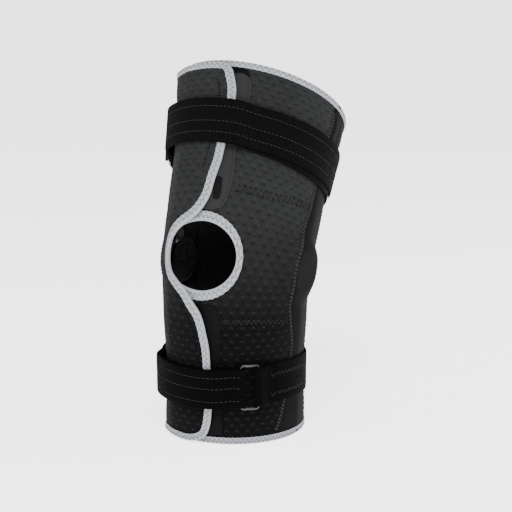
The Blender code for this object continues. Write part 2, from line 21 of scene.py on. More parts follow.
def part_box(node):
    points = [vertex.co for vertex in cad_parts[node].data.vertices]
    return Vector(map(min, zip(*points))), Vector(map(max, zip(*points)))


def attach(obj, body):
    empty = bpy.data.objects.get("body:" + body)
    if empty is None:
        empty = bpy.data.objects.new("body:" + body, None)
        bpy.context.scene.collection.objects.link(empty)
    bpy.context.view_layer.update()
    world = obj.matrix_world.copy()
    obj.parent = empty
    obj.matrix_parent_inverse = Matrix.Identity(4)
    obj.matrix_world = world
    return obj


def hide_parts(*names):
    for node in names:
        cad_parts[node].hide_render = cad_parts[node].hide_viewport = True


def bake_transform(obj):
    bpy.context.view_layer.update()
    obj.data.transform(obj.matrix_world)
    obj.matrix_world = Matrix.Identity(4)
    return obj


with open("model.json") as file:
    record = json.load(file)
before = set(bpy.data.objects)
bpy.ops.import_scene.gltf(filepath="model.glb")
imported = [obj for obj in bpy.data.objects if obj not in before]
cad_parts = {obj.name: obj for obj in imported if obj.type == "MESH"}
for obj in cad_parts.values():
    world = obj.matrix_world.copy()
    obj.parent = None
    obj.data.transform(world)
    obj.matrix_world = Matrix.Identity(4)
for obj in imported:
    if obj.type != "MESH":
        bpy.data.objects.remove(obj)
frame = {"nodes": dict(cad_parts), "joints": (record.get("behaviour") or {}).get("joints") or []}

LOG = logging.getLogger("knee_brace")
SHARP = math.radians(52.0)
FLAT_RADIUS = 0.070  # a turn on the form, in radians, times this is a distance across the cloth
Lift = Callable[[np.ndarray, np.ndarray], np.ndarray]  # lift off the form at s and turn


class Body(Enum):
    """Rigid bodies of the frame that the pieces ride on."""

    CALF = "calf_section"
    THIGH = "thigh_section"
    UPPER_RING = "upper_ring_body"
    UPPER_TAB = "upper_tab_body"
    LOWER_RING = "lower_ring_body"
    LOWER_TAB = "lower_tab_body"


# ------------------------------------------------------------------ numbers


def smooth(t: np.ndarray) -> np.ndarray:
    """Smooth step, 3t^2 - 2t^3 between 0 and 1."""
    t = np.clip(t, 0.0, 1.0)
    return t * t * (3.0 - 2.0 * t)


def window(t: np.ndarray, low: float, high: float) -> np.ndarray:
    """Half sine wave between two limits, and 0 outside them."""
    return np.sin(np.pi * np.clip((t - low) / (high - low), 0.0, 1.0))


def bell(t: np.ndarray, half: float) -> np.ndarray:
    """Bell curve exp(-(t / half)^2)."""
    return np.exp(-((t / half) ** 2))


def through(at: np.ndarray, stations: Sequence[float], values: Sequence[float]) -> np.ndarray:
    """Cubic curve through values at rising stations.

    Each span is a cubic Hermite whose end slopes are the stations' central differences.

    Args:
        at: where the curve is read; it is held at its ends outside the stations.
        stations: rising positions.
        values: the value at each station.

    Returns:
        The curve's value at each place.
    """
    st, va = np.asarray(stations, float), np.asarray(values, float)
    at = np.clip(at, st[0], st[-1])
    i = np.clip(np.searchsorted(st, at) - 1, 0, len(st) - 2)
    step = st[i + 1] - st[i]
    t = (at - st[i]) / step
    slope = np.gradient(va, st)
    start = (2 * t**3 - 3 * t**2 + 1) * va[i] + (t**3 - 2 * t**2 + t) * step * slope[i]
    return start + (3 * t**2 - 2 * t**3) * va[i + 1] + (t**3 - t**2) * step * slope[i + 1]


def even_path(points: Sequence[tuple[float, float]], step: float) -> np.ndarray:
    """Evenly spaced points of a smooth line through (s, turn) points.

    Args:
        points: the line's own points.
        step: distance between the new points, in metres on the flat cloth.

    Returns:
        Rows of (s, turn).
    """
    pts = np.asarray(points, float)
    flat = np.stack((pts[:, 0], np.radians(pts[:, 1]) * FLAT_RADIUS), 1)
    run = np.concatenate(((0.0,), np.cumsum(np.linalg.norm(np.diff(flat, axis=0), axis=1))))
    fine = np.linspace(0.0, run[-1], 8 * len(pts) + int(run[-1] / step))
    line = np.stack([through(fine, run, flat[:, k]) for k in (0, 1)], 1)
    run = np.concatenate(((0.0,), np.cumsum(np.linalg.norm(np.diff(line, axis=0), axis=1))))
    even = np.linspace(0.0, run[-1], max(3, int(run[-1] / step)))
    s, across = (np.interp(even, run, line[:, k]) for k in (0, 1))
    return np.stack((s, np.degrees(across / FLAT_RADIUS)), 1)


def sideways(path: np.ndarray, across: np.ndarray) -> tuple[np.ndarray, np.ndarray]:
    """Points beside a path, at each distance to its right on the flat cloth.

    Args:
        path: rows of (s, turn).
        across: distances, one row of the result each.

    Returns:
        The s and the turn of the points, with a row for each distance.
    """
    flat = np.stack((np.radians(path[:, 1]) * FLAT_RADIUS, path[:, 0]), 1)
    way = np.gradient(flat, axis=0)
    way /= np.linalg.norm(way, axis=1)[:, None]
    move = np.asarray(across, float)
    move = move[:, None] if move.ndim == 1 else move
    s = flat[None, :, 1] - move * way[None, :, 0]
    turn = np.degrees((flat[None, :, 0] + move * way[None, :, 1]) / FLAT_RADIUS)
    return s, turn


def run_of(path: np.ndarray) -> np.ndarray:
    """Distance along a path of (s, turn) rows, on the flat cloth."""
    flat = np.stack((np.radians(path[:, 1]) * FLAT_RADIUS, path[:, 0]), 1)
    return np.concatenate(((0.0,), np.cumsum(np.linalg.norm(np.diff(flat, axis=0), axis=1))))


# ------------------------------------------------------------------ leg form


@dataclass
class LegForm:
    """Oval tube round a centre path that bends at the knee."""

    knee: Vector
    below: float = 0.146
    above: float = 0.160
    flexion: float = math.radians(32.0)
    lean: float = math.radians(-6.5)
    bend_half: float = 0.060
    stations: tuple = (-0.146, -0.080, -0.040, 0.0, 0.040, 0.088, 0.160)
    half_width: tuple = (0.0614, 0.0614, 0.0631, 0.0652, 0.0683, 0.0714, 0.0801)
    front_depth: tuple = (0.0618, 0.0619, 0.0632, 0.0669, 0.0682, 0.0718, 0.0795)
    back_depth: tuple = (0.0638, 0.0639, 0.0658, 0.0698, 0.0712, 0.0746, 0.0830)
    hinge_cover: float = 0.0680
    side_bend: float = 0.026
    front_bend: float = 0.056
    back_bend: float = 0.078
    path_ends: tuple = (-0.150, 0.170)
    swells: tuple = ((0.0011, 0.122, 0.151), (0.0010, 0.030, 0.079), (0.0010, -0.075, -0.028),
                     (0.0007, -0.137, -0.114))
    path_s: np.ndarray = field(init=False)
    path: np.ndarray = field(init=False)

    def __post_init__(self) -> None:
        """Adds up the path's direction, from the lower hem to the upper one."""
        s = np.linspace(*self.path_ends, 641)
        share = self.bend_share(s)
        tilt, lean = self.flexion * share, self.lean * share
        way = np.stack((np.sin(lean), np.sin(tilt) * np.cos(lean), np.cos(tilt) * np.cos(lean)), 1)
        steps = np.cumsum((way[1:] + way[:-1]) / 2, 0) * (s[1] - s[0])
        run = np.concatenate((np.zeros((1, 3)), steps))
        knee = np.array([np.interp(0.0, s, run[:, k]) for k in range(3)])
        self.path_s = s
        self.path = run - knee + np.array(self.knee)

    def bend_share(self, s: np.ndarray) -> np.ndarray:
        """How much of the knee's bend is behind the path at s."""
        return smooth((s + self.bend_half) / (2.0 * self.bend_half))

    def centre(self, s: np.ndarray) -> np.ndarray:
        """Point of the centre path at s."""
        return np.stack([np.interp(s, self.path_s, self.path[:, k]) for k in range(3)], -1)

    def place(self, s: np.ndarray, turn: np.ndarray, lift: np.ndarray) -> np.ndarray:
        """Points on the form.

        The point is the centre, plus the depth times the cosine of the turn forwards, plus
        the half width times its sine sideways; both sizes grow by the lift.

        Args:
            s: distance along the path from the hinge line.
            turn: degrees round the leg from the front.
            lift: distance off the sleeve's outer face.

        Returns:
            Array of points, with the shape that the three arguments share.
        """
        s, turn, lift = np.broadcast_arrays(*(np.asarray(v, float) for v in (s, turn, lift)))
        angle = np.radians(turn)
        front = through(s, self.stations, self.front_depth)
        back = through(s, self.stations, self.back_depth)
        depth = np.where(np.cos(angle) > 0, front, back) + lift
        width = through(s, self.stations, self.half_width) + lift
        tilt = self.flexion * self.bend_share(s)
        forward = np.stack((np.zeros_like(tilt), -np.cos(tilt), np.sin(tilt)), -1)
        out = self.centre(s) + (depth * np.cos(angle))[..., None] * forward
        out[..., 0] += width * np.sin(angle)
        return out

    def hinge_out(self, s: np.ndarray, turn: np.ndarray) -> np.ndarray:
        """Lift of the cloth where it lies flat over a hinge's round heads.

        Args:
            s: distance along the path from the hinge line.
            turn: degrees round the leg from the front.

        Returns:
            The lift that brings the cloth to the hinge's cover, fading out round the heads.
        """
        sine = np.sin(np.radians(turn))
        side = np.sign(sine)
        along = np.radians((turn + 180.0) % 360.0 - 180.0 - 90.0 * side) * self.half_width[3]
        share = 1.0 - smooth((np.hypot(s, along) - 0.0168) / 0.019)
        centre_x = np.interp(s, self.path_s, self.path[:, 0])
        flat = (self.hinge_cover - side * (centre_x - self.knee[0])) / np.maximum(np.abs(sine), 0.5)
        return share * (flat - through(s, self.stations, self.half_width))

    def slack(self, s: np.ndarray, turn: np.ndarray) -> np.ndarray:
        """Lift of the cloth as it sits on the leg, which swells between the straps and folds beside them.

        It is a sum of half waves along s, each times a slow wave round the leg, of narrow
        upright folds over the outer side above the upper strap, of a swell over each hinge,
        and of a flatter place on the flap's left side.

        Args:
            s: distance along the path from the hinge line.
            turn: degrees round the leg from the front.

        Returns:
            The lift.
        """
        angle = np.radians(turn)
        round_about = 0.6 + 0.4 * np.sin(3.0 * angle + 0.7) * np.cos(2.0 * angle)
        swell = sum(height * window(s, low, high) for height, low, high in self.swells)
        beside = window(turn, 76.0, 112.0) * window(s, 0.119, 0.152)
        folds = 0.0010 * beside * (0.5 + 0.5 * np.cos(2.0 * np.pi * (turn - 90.0) / 13.0))
        signed = (turn + 180.0) % 360.0 - 180.0
        over_hinge = 0.0028 * bell(s - 0.018, 0.012) * window(np.abs(signed), 60.0, 120.0)
        flatter = 0.0044 * window(signed, -84.0, -28.0) * (0.55 + 0.45 * window(np.abs(s), 0.005, 0.150))
        return swell * round_about + folds + over_hinge - flatter

    def cloth_out(self, s: np.ndarray, turn: np.ndarray) -> np.ndarray:
        """Lift of the sleeve's outer face, before any pattern is pressed into it."""
        return self.hinge_out(s, turn) + self.slack(s, turn)

    def thigh_share(self, s: np.ndarray, turn: np.ndarray) -> np.ndarray:
        """How far a point follows the thigh: 0 on the calf, 1 on the thigh.

        The share rises along s over a half length that is short beside the hinges, where
        the bars hold the cloth, and longer in front and at the back.

        Args:
            s: distance along the path from the hinge line.
            turn: degrees round the leg from the front.

        Returns:
            The share.
        """
        c = np.cos(np.radians(turn))
        reach = np.where(c > 0, self.front_bend, self.back_bend) - self.side_bend
        half = self.side_bend + reach * smooth(np.abs(c))
        t = np.clip((s + half) / (2.0 * half), 0.0, 1.0)
        return 0.5 * t + 0.5 * smooth(t)


# ------------------------------------------------------------------ mesh


class Maker:
    """Turns grids of points into finished pieces."""

    def __init__(self, form: LegForm) -> None:
        """Keeps the form that places are read from."""
        self.form = form

    @staticmethod
    def mesh(name: str, points: np.ndarray, quads: np.ndarray, uv: np.ndarray,
             looks: Sequence[bpy.types.Material], look_of: np.ndarray | None = None) -> bpy.types.Object:
        """Object of four-sided faces.

        All faces are turned over together where the volume that they enclose, the sum of
        the signed volumes of the pyramids from the origin to each face, is negative.

        Args:
            name: the piece's name.
            points: rows of x, y, z.
            quads: rows of four point numbers.
            uv: place on the flat cloth of each face's corners, in metres.
            looks: materials, in the order of their slots.
            look_of: the slot of each face, or None for the first one.

        Returns:
            The object, in the scene and smoothly shaded.
        """
        a, b, c, d = (points[quads[:, k]] for k in range(4))
        volume = np.einsum("ij,ij->i", a, np.cross(b, c) + np.cross(c, d)).sum()
        if volume < 0:
            quads, uv = quads[:, ::-1], uv[:, ::-1]
        mesh = bpy.data.meshes.new(name)
        mesh.vertices.add(len(points))
        mesh.vertices.foreach_set("co", np.ascontiguousarray(points, np.float32).ravel())
        mesh.loops.add(quads.size)
        mesh.loops.foreach_set("vertex_index", np.ascontiguousarray(quads, np.int32).ravel())
        mesh.polygons.add(len(quads))
        mesh.polygons.foreach_set("loop_start", np.arange(0, quads.size, 4, dtype=np.int32))
        if look_of is not None:
            mesh.polygons.foreach_set("material_index", np.ascontiguousarray(look_of, np.int32))
        mesh.update(calc_edges=True)
        layer = mesh.uv_layers.new(name="cloth")
        layer.data.foreach_set("uv", np.ascontiguousarray(uv, np.float32).ravel())
        for look in looks:
            mesh.materials.append(look)
        mesh.validate()
        mesh.shade_smooth()
        mesh.set_sharp_from_angle(angle=SHARP)
        obj = bpy.data.objects.new(name, mesh)
        bpy.context.scene.collection.objects.link(obj)
        return obj

    def shell(self, name: str, outer: np.ndarray, inner: np.ndarray, across: np.ndarray,
              along: np.ndarray, looks: Sequence[bpy.types.Material],
              keep: np.ndarray | None = None) -> bpy.types.Object:
        """Closed wall between two grids of points, such as a cloth's two faces.

        The cells of both grids become faces, and a face joins the two grids along every
        edge that only one kept cell uses.

        Args:
            name: the piece's name.
            outer: grid of points of the outer face.
            inner: grid of the same shape for the inner face.
            across: place of each grid point across the flat cloth.
            along: place of each grid point along the flat cloth.
            looks: the outer face's material, and the inner one's where it differs.
            keep: which cells are there, or None for all.

        Returns:
            The object.
        """
        rows, cols = outer.shape[:2]
        number = np.arange(rows * cols).reshape(rows, cols)
        made = np.stack((number[:-1, :-1], number[:-1, 1:], number[1:, 1:], number[1:, :-1]), -1)
        quads = made[keep] if keep is not None else made.reshape(-1, 4)
        pairs = np.concatenate([quads[:, [k, (k + 1) % 4]] for k in range(4)])
        _, first, count = np.unique(np.sort(pairs, 1), axis=0, return_index=True, return_counts=True)
        rim = first[count == 1]
        a, b = pairs[rim, 0], pairs[rim, 1]
        size = number.size
        faces = np.concatenate((quads, quads[:, ::-1] + size, np.stack((b, a, a + size, b + size), 1)))
        uv_number = np.concatenate((quads, quads[:, ::-1], np.stack((b, a, a, b), 1)))
        uv = np.stack((across.ravel(), along.ravel()), 1)[uv_number]
        points = np.concatenate((outer.reshape(-1, 3), inner.reshape(-1, 3)))
        used, faces = np.unique(faces, return_inverse=True)
        look_of = np.repeat((0, len(looks) - 1, len(looks) - 1), (len(quads), len(quads), len(rim)))
        return self.mesh(name, points[used], faces.reshape(-1, 4), uv, looks, look_of)

    def threads(self, name: str, starts: np.ndarray, ends: np.ndarray, radius: float, rise: float,
                look: bpy.types.Material) -> bpy.types.Object:
        """Row of stitches, each a short thread that arches from one hole to the next.

        A stitch is a tube of four rings of six points: its line runs from start to end, its
        height is rise times a half sine, and its radius is least at the two ends.

        Args:
            name: the piece's name.
            starts: rows of (s, turn, lift) where stitches begin.
            ends: rows of (s, turn, lift) where they end.
            radius: the thread's radius.
            rise: height of the arch.
            look: the thread's material.

        Returns:
            The object, all stitches in one mesh.
        """
        t = np.array((0.0, 0.22, 0.78, 1.0))
        size = np.array((0.35, 1.0, 1.0, 0.35)) * radius
        line = starts[:, None, :] + (ends - starts)[:, None, :] * t[None, :, None]
        way = np.stack((ends[:, 0] - starts[:, 0], np.radians(ends[:, 1] - starts[:, 1]) * FLAT_RADIUS), 1)
        way /= np.maximum(np.linalg.norm(way, axis=1), 1e-9)[:, None]
        angle = np.radians(np.arange(6) * 60.0)
        side = size[None, :, None] * np.cos(angle)[None, None, :]
        up = size[None, :, None] * np.sin(angle)[None, None, :] + (rise * np.sin(np.pi * t))[None, :, None]
        s = line[:, :, 0:1] - side * way[:, None, 1:2]
        turn = line[:, :, 1:2] + np.degrees(side * way[:, None, 0:1] / FLAT_RADIUS)
        points = self.form.place(s, turn, line[:, :, 2:3] + up)
        ring = np.arange(6)
        tube = np.concatenate([np.stack((ring, (ring + 1) % 6, (ring + 1) % 6 + 6, ring + 6), 1) + 6 * k
                               for k in range(3)])
        caps = np.array(((0, 3, 2, 1), (0, 5, 4, 3), (18, 19, 20, 21), (18, 21, 22, 23)))
        one = np.concatenate((tube, caps))
        quads = (one[None] + 24 * np.arange(len(starts))[:, None, None]).reshape(-1, 4)
        uv = np.stack((np.radians(turn) * FLAT_RADIUS, s), -1).reshape(-1, 2)[quads]
        return self.mesh(name, points.reshape(-1, 3), quads, uv, [look])


def follow(obj: bpy.types.Object, body: Body) -> bpy.types.Object:
    """Piece that moves with one rigid body."""
    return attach(obj, body.value)


def bend(obj: bpy.types.Object, form: LegForm) -> bpy.types.Object:
    """Piece that crosses the knee; its transform is baked into its points.

    Each point's share of the thigh's motion is worked out from its place: s is the nearest place of the
    centre path, and the turn is the direction from there. The share is not kept, so the piece is not bent.

    Args:
        obj: the finished piece, with no parent.
        form: the leg form.

    Returns:
        The piece.
    """
    low = Vector(form.centre(np.array(-form.bend_half)))
    high = Vector(form.centre(np.array(form.bend_half)))
    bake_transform(obj)
    co = np.empty(len(obj.data.vertices) * 3, np.float32)
    obj.data.vertices.foreach_get("co", co)
    s, turn = nearest_place(form, co.reshape(-1, 3).astype(float))
    share = form.thigh_share(s, turn).astype(np.float32)
    return obj


def nearest_place(form: LegForm, points: np.ndarray) -> tuple[np.ndarray, np.ndarray]:
    """The s and turn of points near the form.

    At the right s, the line from the centre to the point is square to the leg's tilt, so
    s moves by the part of that line that lies along the leg, a few times over.

    Args:
        form: the leg form.
        points: rows of x, y, z.

    Returns:
        The s and the turn of each point.
    """
    ends = form.path_s[0], form.path_s[-1]
    s = np.clip(points[:, 2] - form.knee[2], *ends)
    for _ in range(14):
        tilt = form.flexion * form.bend_share(s)
        gap = points - form.centre(s)
        s = np.clip(s + 0.7 * (gap[:, 1] * np.sin(tilt) + gap[:, 2] * np.cos(tilt)), *ends)
    tilt = form.flexion * form.bend_share(s)
    gap = points - form.centre(s)
    ahead = -gap[:, 1] * np.cos(tilt) + gap[:, 2] * np.sin(tilt)
    return s, np.degrees(np.arctan2(gap[:, 0], ahead))


# ------------------------------------------------------------------ materials


@dataclass(frozen=True)
class Term:
    """Value worked out by a material's nodes, which adds and multiplies like a number."""

    wiring: "Wiring"
    socket: bpy.types.NodeSocket

    def __add__(self, other: "Term | float") -> "Term":
        """Sum."""
        return self.wiring.math("ADD", self, other)

    def __sub__(self, other: "Term | float") -> "Term":
        """Difference."""
        return self.wiring.math("SUBTRACT", self, other)

    def __rsub__(self, other: float) -> "Term":
        """Difference from a number."""
        return self.wiring.math("SUBTRACT", other, self)

    def __mul__(self, other: "Term | float") -> "Term":
        """Product."""
        return self.wiring.math("MULTIPLY", self, other)

    def __truediv__(self, other: "Term | float") -> "Term":
        """Quotient."""
        return self.wiring.math("DIVIDE", self, other)

    def __pow__(self, other: float) -> "Term":
        """Power."""
        return self.wiring.math("POWER", self, other)

    __radd__ = __add__
    __rmul__ = __mul__


class Wiring:
    """Writes a material's nodes as sums on sockets."""

    def __init__(self, name: str) -> None:
        """Starts an empty material with a Principled shader.

        Args:
            name: the material's name.
        """
        self.material = bpy.data.materials.new(name)
        self.material.use_nodes = True
        self.nodes = self.material.node_tree.nodes
        self.links = self.material.node_tree.links
        self.shader = self.nodes["Principled BSDF"]

    def give(self, socket: bpy.types.NodeSocket, value: object) -> None:
        """Links a term to a socket, or sets the socket to a number or colour.

        Args:
            socket: an input of a node.
            value: a term, a number or a colour.
        """
        if isinstance(value, Term):
            self.links.new(value.socket, socket)
        else:
            socket.default_value = value

    def math(self, operation: str, *values: "Term | float") -> Term:
        """Math node of one operation.

        Args:
            operation: Blender's name of the operation.
            values: its inputs, in order.

        Returns:
            The result.
        """
        node = self.nodes.new("ShaderNodeMath")
        node.operation = operation
        for socket, value in zip(node.inputs, values):
            self.give(socket, value)
        return Term(self, node.outputs[0])

    def clamp(self, value: Term) -> Term:
        """Value held between 0 and 1.

        Args:
            value: any term.

        Returns:
            The held value.
        """
        node = self.nodes.new("ShaderNodeClamp")
        self.give(node.inputs[0], value)
        return Term(self, node.outputs[0])

    def hill(self, distance: Term, half: float) -> Term:
        """Hump 1 - (distance / half)^2 round a distance of 0, and 0 past the half width."""
        return self.clamp(1.0 - (distance / half) ** 2.0)

    def wave(self, value: Term, length: float) -> Term:
        """Sine wave of that length, from 0 to 1."""
        return self.math("SINE", value * (2.0 * math.pi / length)) * 0.5 + 0.5

    def cell(self, value: Term, pitch: float) -> Term:
        """Distance from the middle of the cell that the value is in, along one direction."""
        return (self.math("FRACT", value / pitch) - 0.5) * pitch

    def cloth(self) -> tuple[Term, Term]:
        """Places on the flat cloth, from the piece's own UV map.

        Returns:
            The place across and the place along, in metres.
        """
        node = self.nodes.new("ShaderNodeUVMap")
        node.uv_map = "cloth"
        split = self.nodes.new("ShaderNodeSeparateXYZ")
        self.links.new(node.outputs[0], split.inputs[0])
        return Term(self, split.outputs[0]), Term(self, split.outputs[1])

    def space(self) -> Term:
        """Object coordinates, in metres."""
        return Term(self, self.nodes.new("ShaderNodeTexCoord").outputs["Object"])

    def height(self) -> Term:
        """Height over the floor of the piece at rest.

        Returns:
            The height in metres.
        """
        split = self.nodes.new("ShaderNodeSeparateXYZ")
        self.links.new(self.space().socket, split.inputs[0])
        return Term(self, split.outputs[2])

    def stretched(self, vector: Term, scale: tuple[float, float, float]) -> Term:
        """Coordinates scaled on each axis.

        Args:
            vector: the coordinates.
            scale: the factor on each axis.

        Returns:
            The scaled coordinates.
        """
        node = self.nodes.new("ShaderNodeMapping")
        self.give(node.inputs["Vector"], vector)
        node.inputs["Scale"].default_value = scale
        return Term(self, node.outputs[0])

    def noise(self, size: float, detail: float = 2.0, vector: Term | None = None) -> Term:
        """Noise from 0 to 1 whose blobs are about that size.

        Args:
            size: size of the blobs in metres.
            detail: how many finer noises are laid over it.
            vector: coordinates, or None for the object's.

        Returns:
            The noise.
        """
        node = self.nodes.new("ShaderNodeTexNoise")
        self.give(node.inputs["Vector"], vector or self.space())
        node.inputs["Scale"].default_value = 1.0 / size
        node.inputs["Detail"].default_value = detail
        return Term(self, node.outputs[0])

    def colour(self, share: Term, low: tuple, high: tuple) -> Term:
        """Colour between two colours.

        Args:
            share: 0 for the low colour, 1 for the high one.
            low: the colour at 0.
            high: the colour at 1.

        Returns:
            The colour.
        """
        node = self.nodes.new("ShaderNodeMix")
        node.data_type = 'RGBA'
        self.give(node.inputs[0], share)
        node.inputs[6].default_value = (*low, 1.0)
        node.inputs[7].default_value = (*high, 1.0)
        return Term(self, node.outputs[2])

    def finish(self, colour: Term, rough: Term | float, height: Term | None = None, depth: float = 0.0003,
               metal: float = 0.0, sheen: float = 0.0, specular: float = 0.5) -> bpy.types.Material:
        """Sets the shader.

        Args:
            colour: base colour.
            rough: roughness.
            height: relief from 0 to 1, or None for a flat surface.
            depth: height of the relief in metres.
            metal: metallic value.
            sheen: weight of the cloth's sheen.
            specular: specular level.

        Returns:
            The material.
        """
        self.give(self.shader.inputs["Base Color"], colour)
        self.give(self.shader.inputs["Roughness"], rough)
        self.shader.inputs["Metallic"].default_value = metal
        self.shader.inputs["Sheen Weight"].default_value = sheen
        self.shader.inputs["Sheen Roughness"].default_value = 0.45
        self.shader.inputs["Specular IOR Level"].default_value = specular
        if height is not None:
            bump = self.nodes.new("ShaderNodeBump")
            bump.inputs["Strength"].default_value = 1.0
            bump.inputs["Distance"].default_value = depth
            self.give(bump.inputs["Height"], height)
            self.links.new(bump.outputs[0], self.shader.inputs["Normal"])
        return self.material


@dataclass(frozen=True)
class Dimples:
    """Staggered pattern of dimples embossed into the laminated cloth."""

    across: float = 0.0104
    along: float = 0.0053
    radius: float = 0.00170
    line: float = 0.00085
    depth: float = 0.00012

    def relief(self, across: np.ndarray, along: np.ndarray) -> np.ndarray:
        """Depth of the embossed dimples, as a smooth round hollow in every cell.

        Rows lie `along` apart, and every second row is moved by half of `across`.

        Args:
            across: places across the cloth.
            along: places along it.

        Returns:
            The lift, 0 between the dimples.
        """
        row = np.floor(along / self.along)
        moved = across / self.across + 0.5 * (row % 2)
        x = (moved - np.floor(moved) - 0.5) * self.across
        y = (along / self.along - row - 0.5) * self.along
        return -self.depth * bell(np.hypot(x, y), 1.1 * self.radius)

    def nodes(self, wiring: Wiring, across: Term, along: Term) -> tuple[Term, Term]:
        """The same pattern in nodes.

        Args:
            wiring: the material's nodes.
            across: place across the cloth.
            along: place along it.

        Returns:
            The painted shadow crescent at the bottom of each dimple and the painted highlight crescent at its
            top, as if lit from above.
        """
        row = wiring.math("FLOOR", along / self.along)
        moved = across + wiring.math("FLOORED_MODULO", row, 2.0) * (0.5 * self.across)
        x = wiring.cell(moved, self.across)
        y = wiring.cell(along, self.along)
        reach = wiring.math("SQRT", x * x + y * y + 1e-9)
        ring = wiring.hill(reach - self.radius, self.line)
        # painted shadow on the lower side of each dimple ring, painted highlight on its upper side
        return ring * wiring.clamp(0.1 - 1.1 * (y / reach)), ring * wiring.clamp(y / reach)


DIMPLES = Dimples()


@dataclass(frozen=True)
class EmbossedCloth:
    """Charcoal knit laminated to foam, with the embossed dimples."""

    name: str = "embossed_laminate"
    low: tuple = (0.0010, 0.0011, 0.0011)
    high: tuple = (0.0290, 0.0300, 0.0300)
    loop: float = 0.00085
    knee_height: float = 0.15

    def build(self) -> bpy.types.Material:
        """Knit loops, dimples with a painted shadow crescent below and a painted highlight crescent above, a
        slow random change of tone, and painted shade that deepens below the knee.

        Returns:
            The material.
        """
        w = Wiring(self.name)
        across, along = w.cloth()
        # the dimples' lower crescents get painted shadow and their upper crescents painted highlight; both
        # masks also shape the bump
        shadow_crescent, highlight_crescent = DIMPLES.nodes(w, across, along)
        knit = w.wave(across, self.loop) * w.wave(along, 0.8 * self.loop)
        fibre = w.noise(0.0006, 3.0)
        shade = w.noise(0.035, 3.0)
        # painted shade by height: 1 from 0.20 m up, 0 under 0.10 m, so the cloth is darkened below the knee
        lit_above_knee = w.clamp((w.height() - self.knee_height) / 0.10 + 0.5)
        share = 0.13 + 0.36 * fibre + 0.26 * shade + 0.12 * knit + 0.08 * highlight_crescent
        share = share + 0.30 * (w.noise(0.0026) - 0.5)
        # painted highlight: the dimples' upper crescents are brightened more below the knee
        highlight_gain = 0.24 - 0.19 * lit_above_knee
        share = w.clamp((share - 0.26 * shadow_crescent) * (0.06 + 0.94 * lit_above_knee) + highlight_gain * highlight_crescent)
        height = 0.20 * knit + 0.18 * fibre - 0.48 * shadow_crescent - 0.28 * highlight_crescent
        rough = w.clamp(0.72 + 0.18 * fibre - 0.08 * highlight_crescent)
        return w.finish(w.colour(share, self.low, self.high), rough, height, 0.00034,
                        sheen=0.006, specular=0.04)


@dataclass(frozen=True)
class SmoothCloth:
    """Plain jersey of the hinge pockets."""

    name: str = "smooth_jersey"
    low: tuple = (0.0010, 0.0010, 0.0011)
    high: tuple = (0.0044, 0.0046, 0.0047)
    loop: float = 0.0009

    def build(self) -> bpy.types.Material:
        """Fine ribs along the leg, with a slow change of shade.

        Returns:
            The material.
        """
        w = Wiring(self.name)
        across, along = w.cloth()
        ribs = w.wave(across, self.loop) * (0.6 + 0.4 * w.wave(along, 0.7 * self.loop))
        fibre = w.noise(0.0007, 3.0)
        share = w.clamp(0.25 + 0.40 * w.noise(0.03) + 0.25 * fibre + 0.15 * ribs)
        rough = w.clamp(0.66 + 0.14 * fibre)
        return w.finish(w.colour(share, self.low, self.high), rough, 0.5 * ribs + 0.3 * fibre, 0.00016,
                        sheen=0.0, specular=0.028)


@dataclass(frozen=True)
class LoopLining:
    """Brushed loop cloth of the sleeve's inner face."""

    name: str = "loop_lining"
    low: tuple = (0.008, 0.0082, 0.0085)
    high: tuple = (0.034, 0.0345, 0.0355)

    def build(self) -> bpy.types.Material:
        """Short loops as two sizes of noise.

        Returns:
            The material.
        """
        w = Wiring(self.name)
        across, along = w.cloth()
        loops = w.noise(0.0011, 4.0)
        rows = w.wave(along + 0.0004 * w.noise(0.004), 0.0021)
        share = 1.1 * loops - 0.25 + 0.18 * rows + 0.2 * w.noise(0.04)
        share = w.clamp(share - 0.05 * w.wave(across, 0.0017))
        return w.finish(w.colour(share, self.low, self.high), 0.93, loops + 0.35 * rows, 0.0005,
                        sheen=0.02, specular=0.08)


@dataclass(frozen=True)
class EdgeTape:
    """Light grey knitted tape that binds the edges; v runs along it and u across it."""

    name: str = "edge_tape"
    low: tuple = (0.062, 0.066, 0.076)
    high: tuple = (0.300, 0.311, 0.342)
    rib: float = 0.00095
    hole_pitch: float = 0.0046

    def build(self) -> bpy.types.Material:
        """Slanting ribs, painted shade on the tape's lowest part near the floor, and the pulled places of the
        stitches.

        Returns:
            The material.
        """
        w = Wiring(self.name)
        across, along = w.cloth()
        ribs = w.wave(along + 0.6 * across, self.rib)
        cross = w.wave(across - 0.25 * along, 1.3 * self.rib)
        low = w.math("SQRT", w.cell(along, self.hole_pitch) ** 2.0 + (across - 0.0020) ** 2.0)
        high = w.math("SQRT", w.cell(along + 0.5 * self.hole_pitch, self.hole_pitch) ** 2.0
                      + (across - 0.0049) ** 2.0)
        pulled = w.hill(low, 0.0011) + w.hill(high, 0.0011)
        fibre = w.noise(0.0007, 3.0)
        shade = 0.35 * fibre + 0.22 * w.noise(0.02) + 0.5 * (w.noise(0.0022) - 0.5)
        # painted shade: the tape darkens over its lowest 16 mm above the floor
        floor_shade = w.clamp(1.0 - w.height() / 0.016)
        share = w.clamp(0.42 + 0.24 * ribs + 0.16 * cross + shade - 0.60 * pulled - 0.26 * floor_shade)
        height = 0.35 * ribs + 0.2 * cross + 0.2 * fibre - 0.8 * pulled
        return w.finish(w.colour(share, self.low, self.high), 0.82, height, 0.00030, sheen=0.05, specular=0.2)


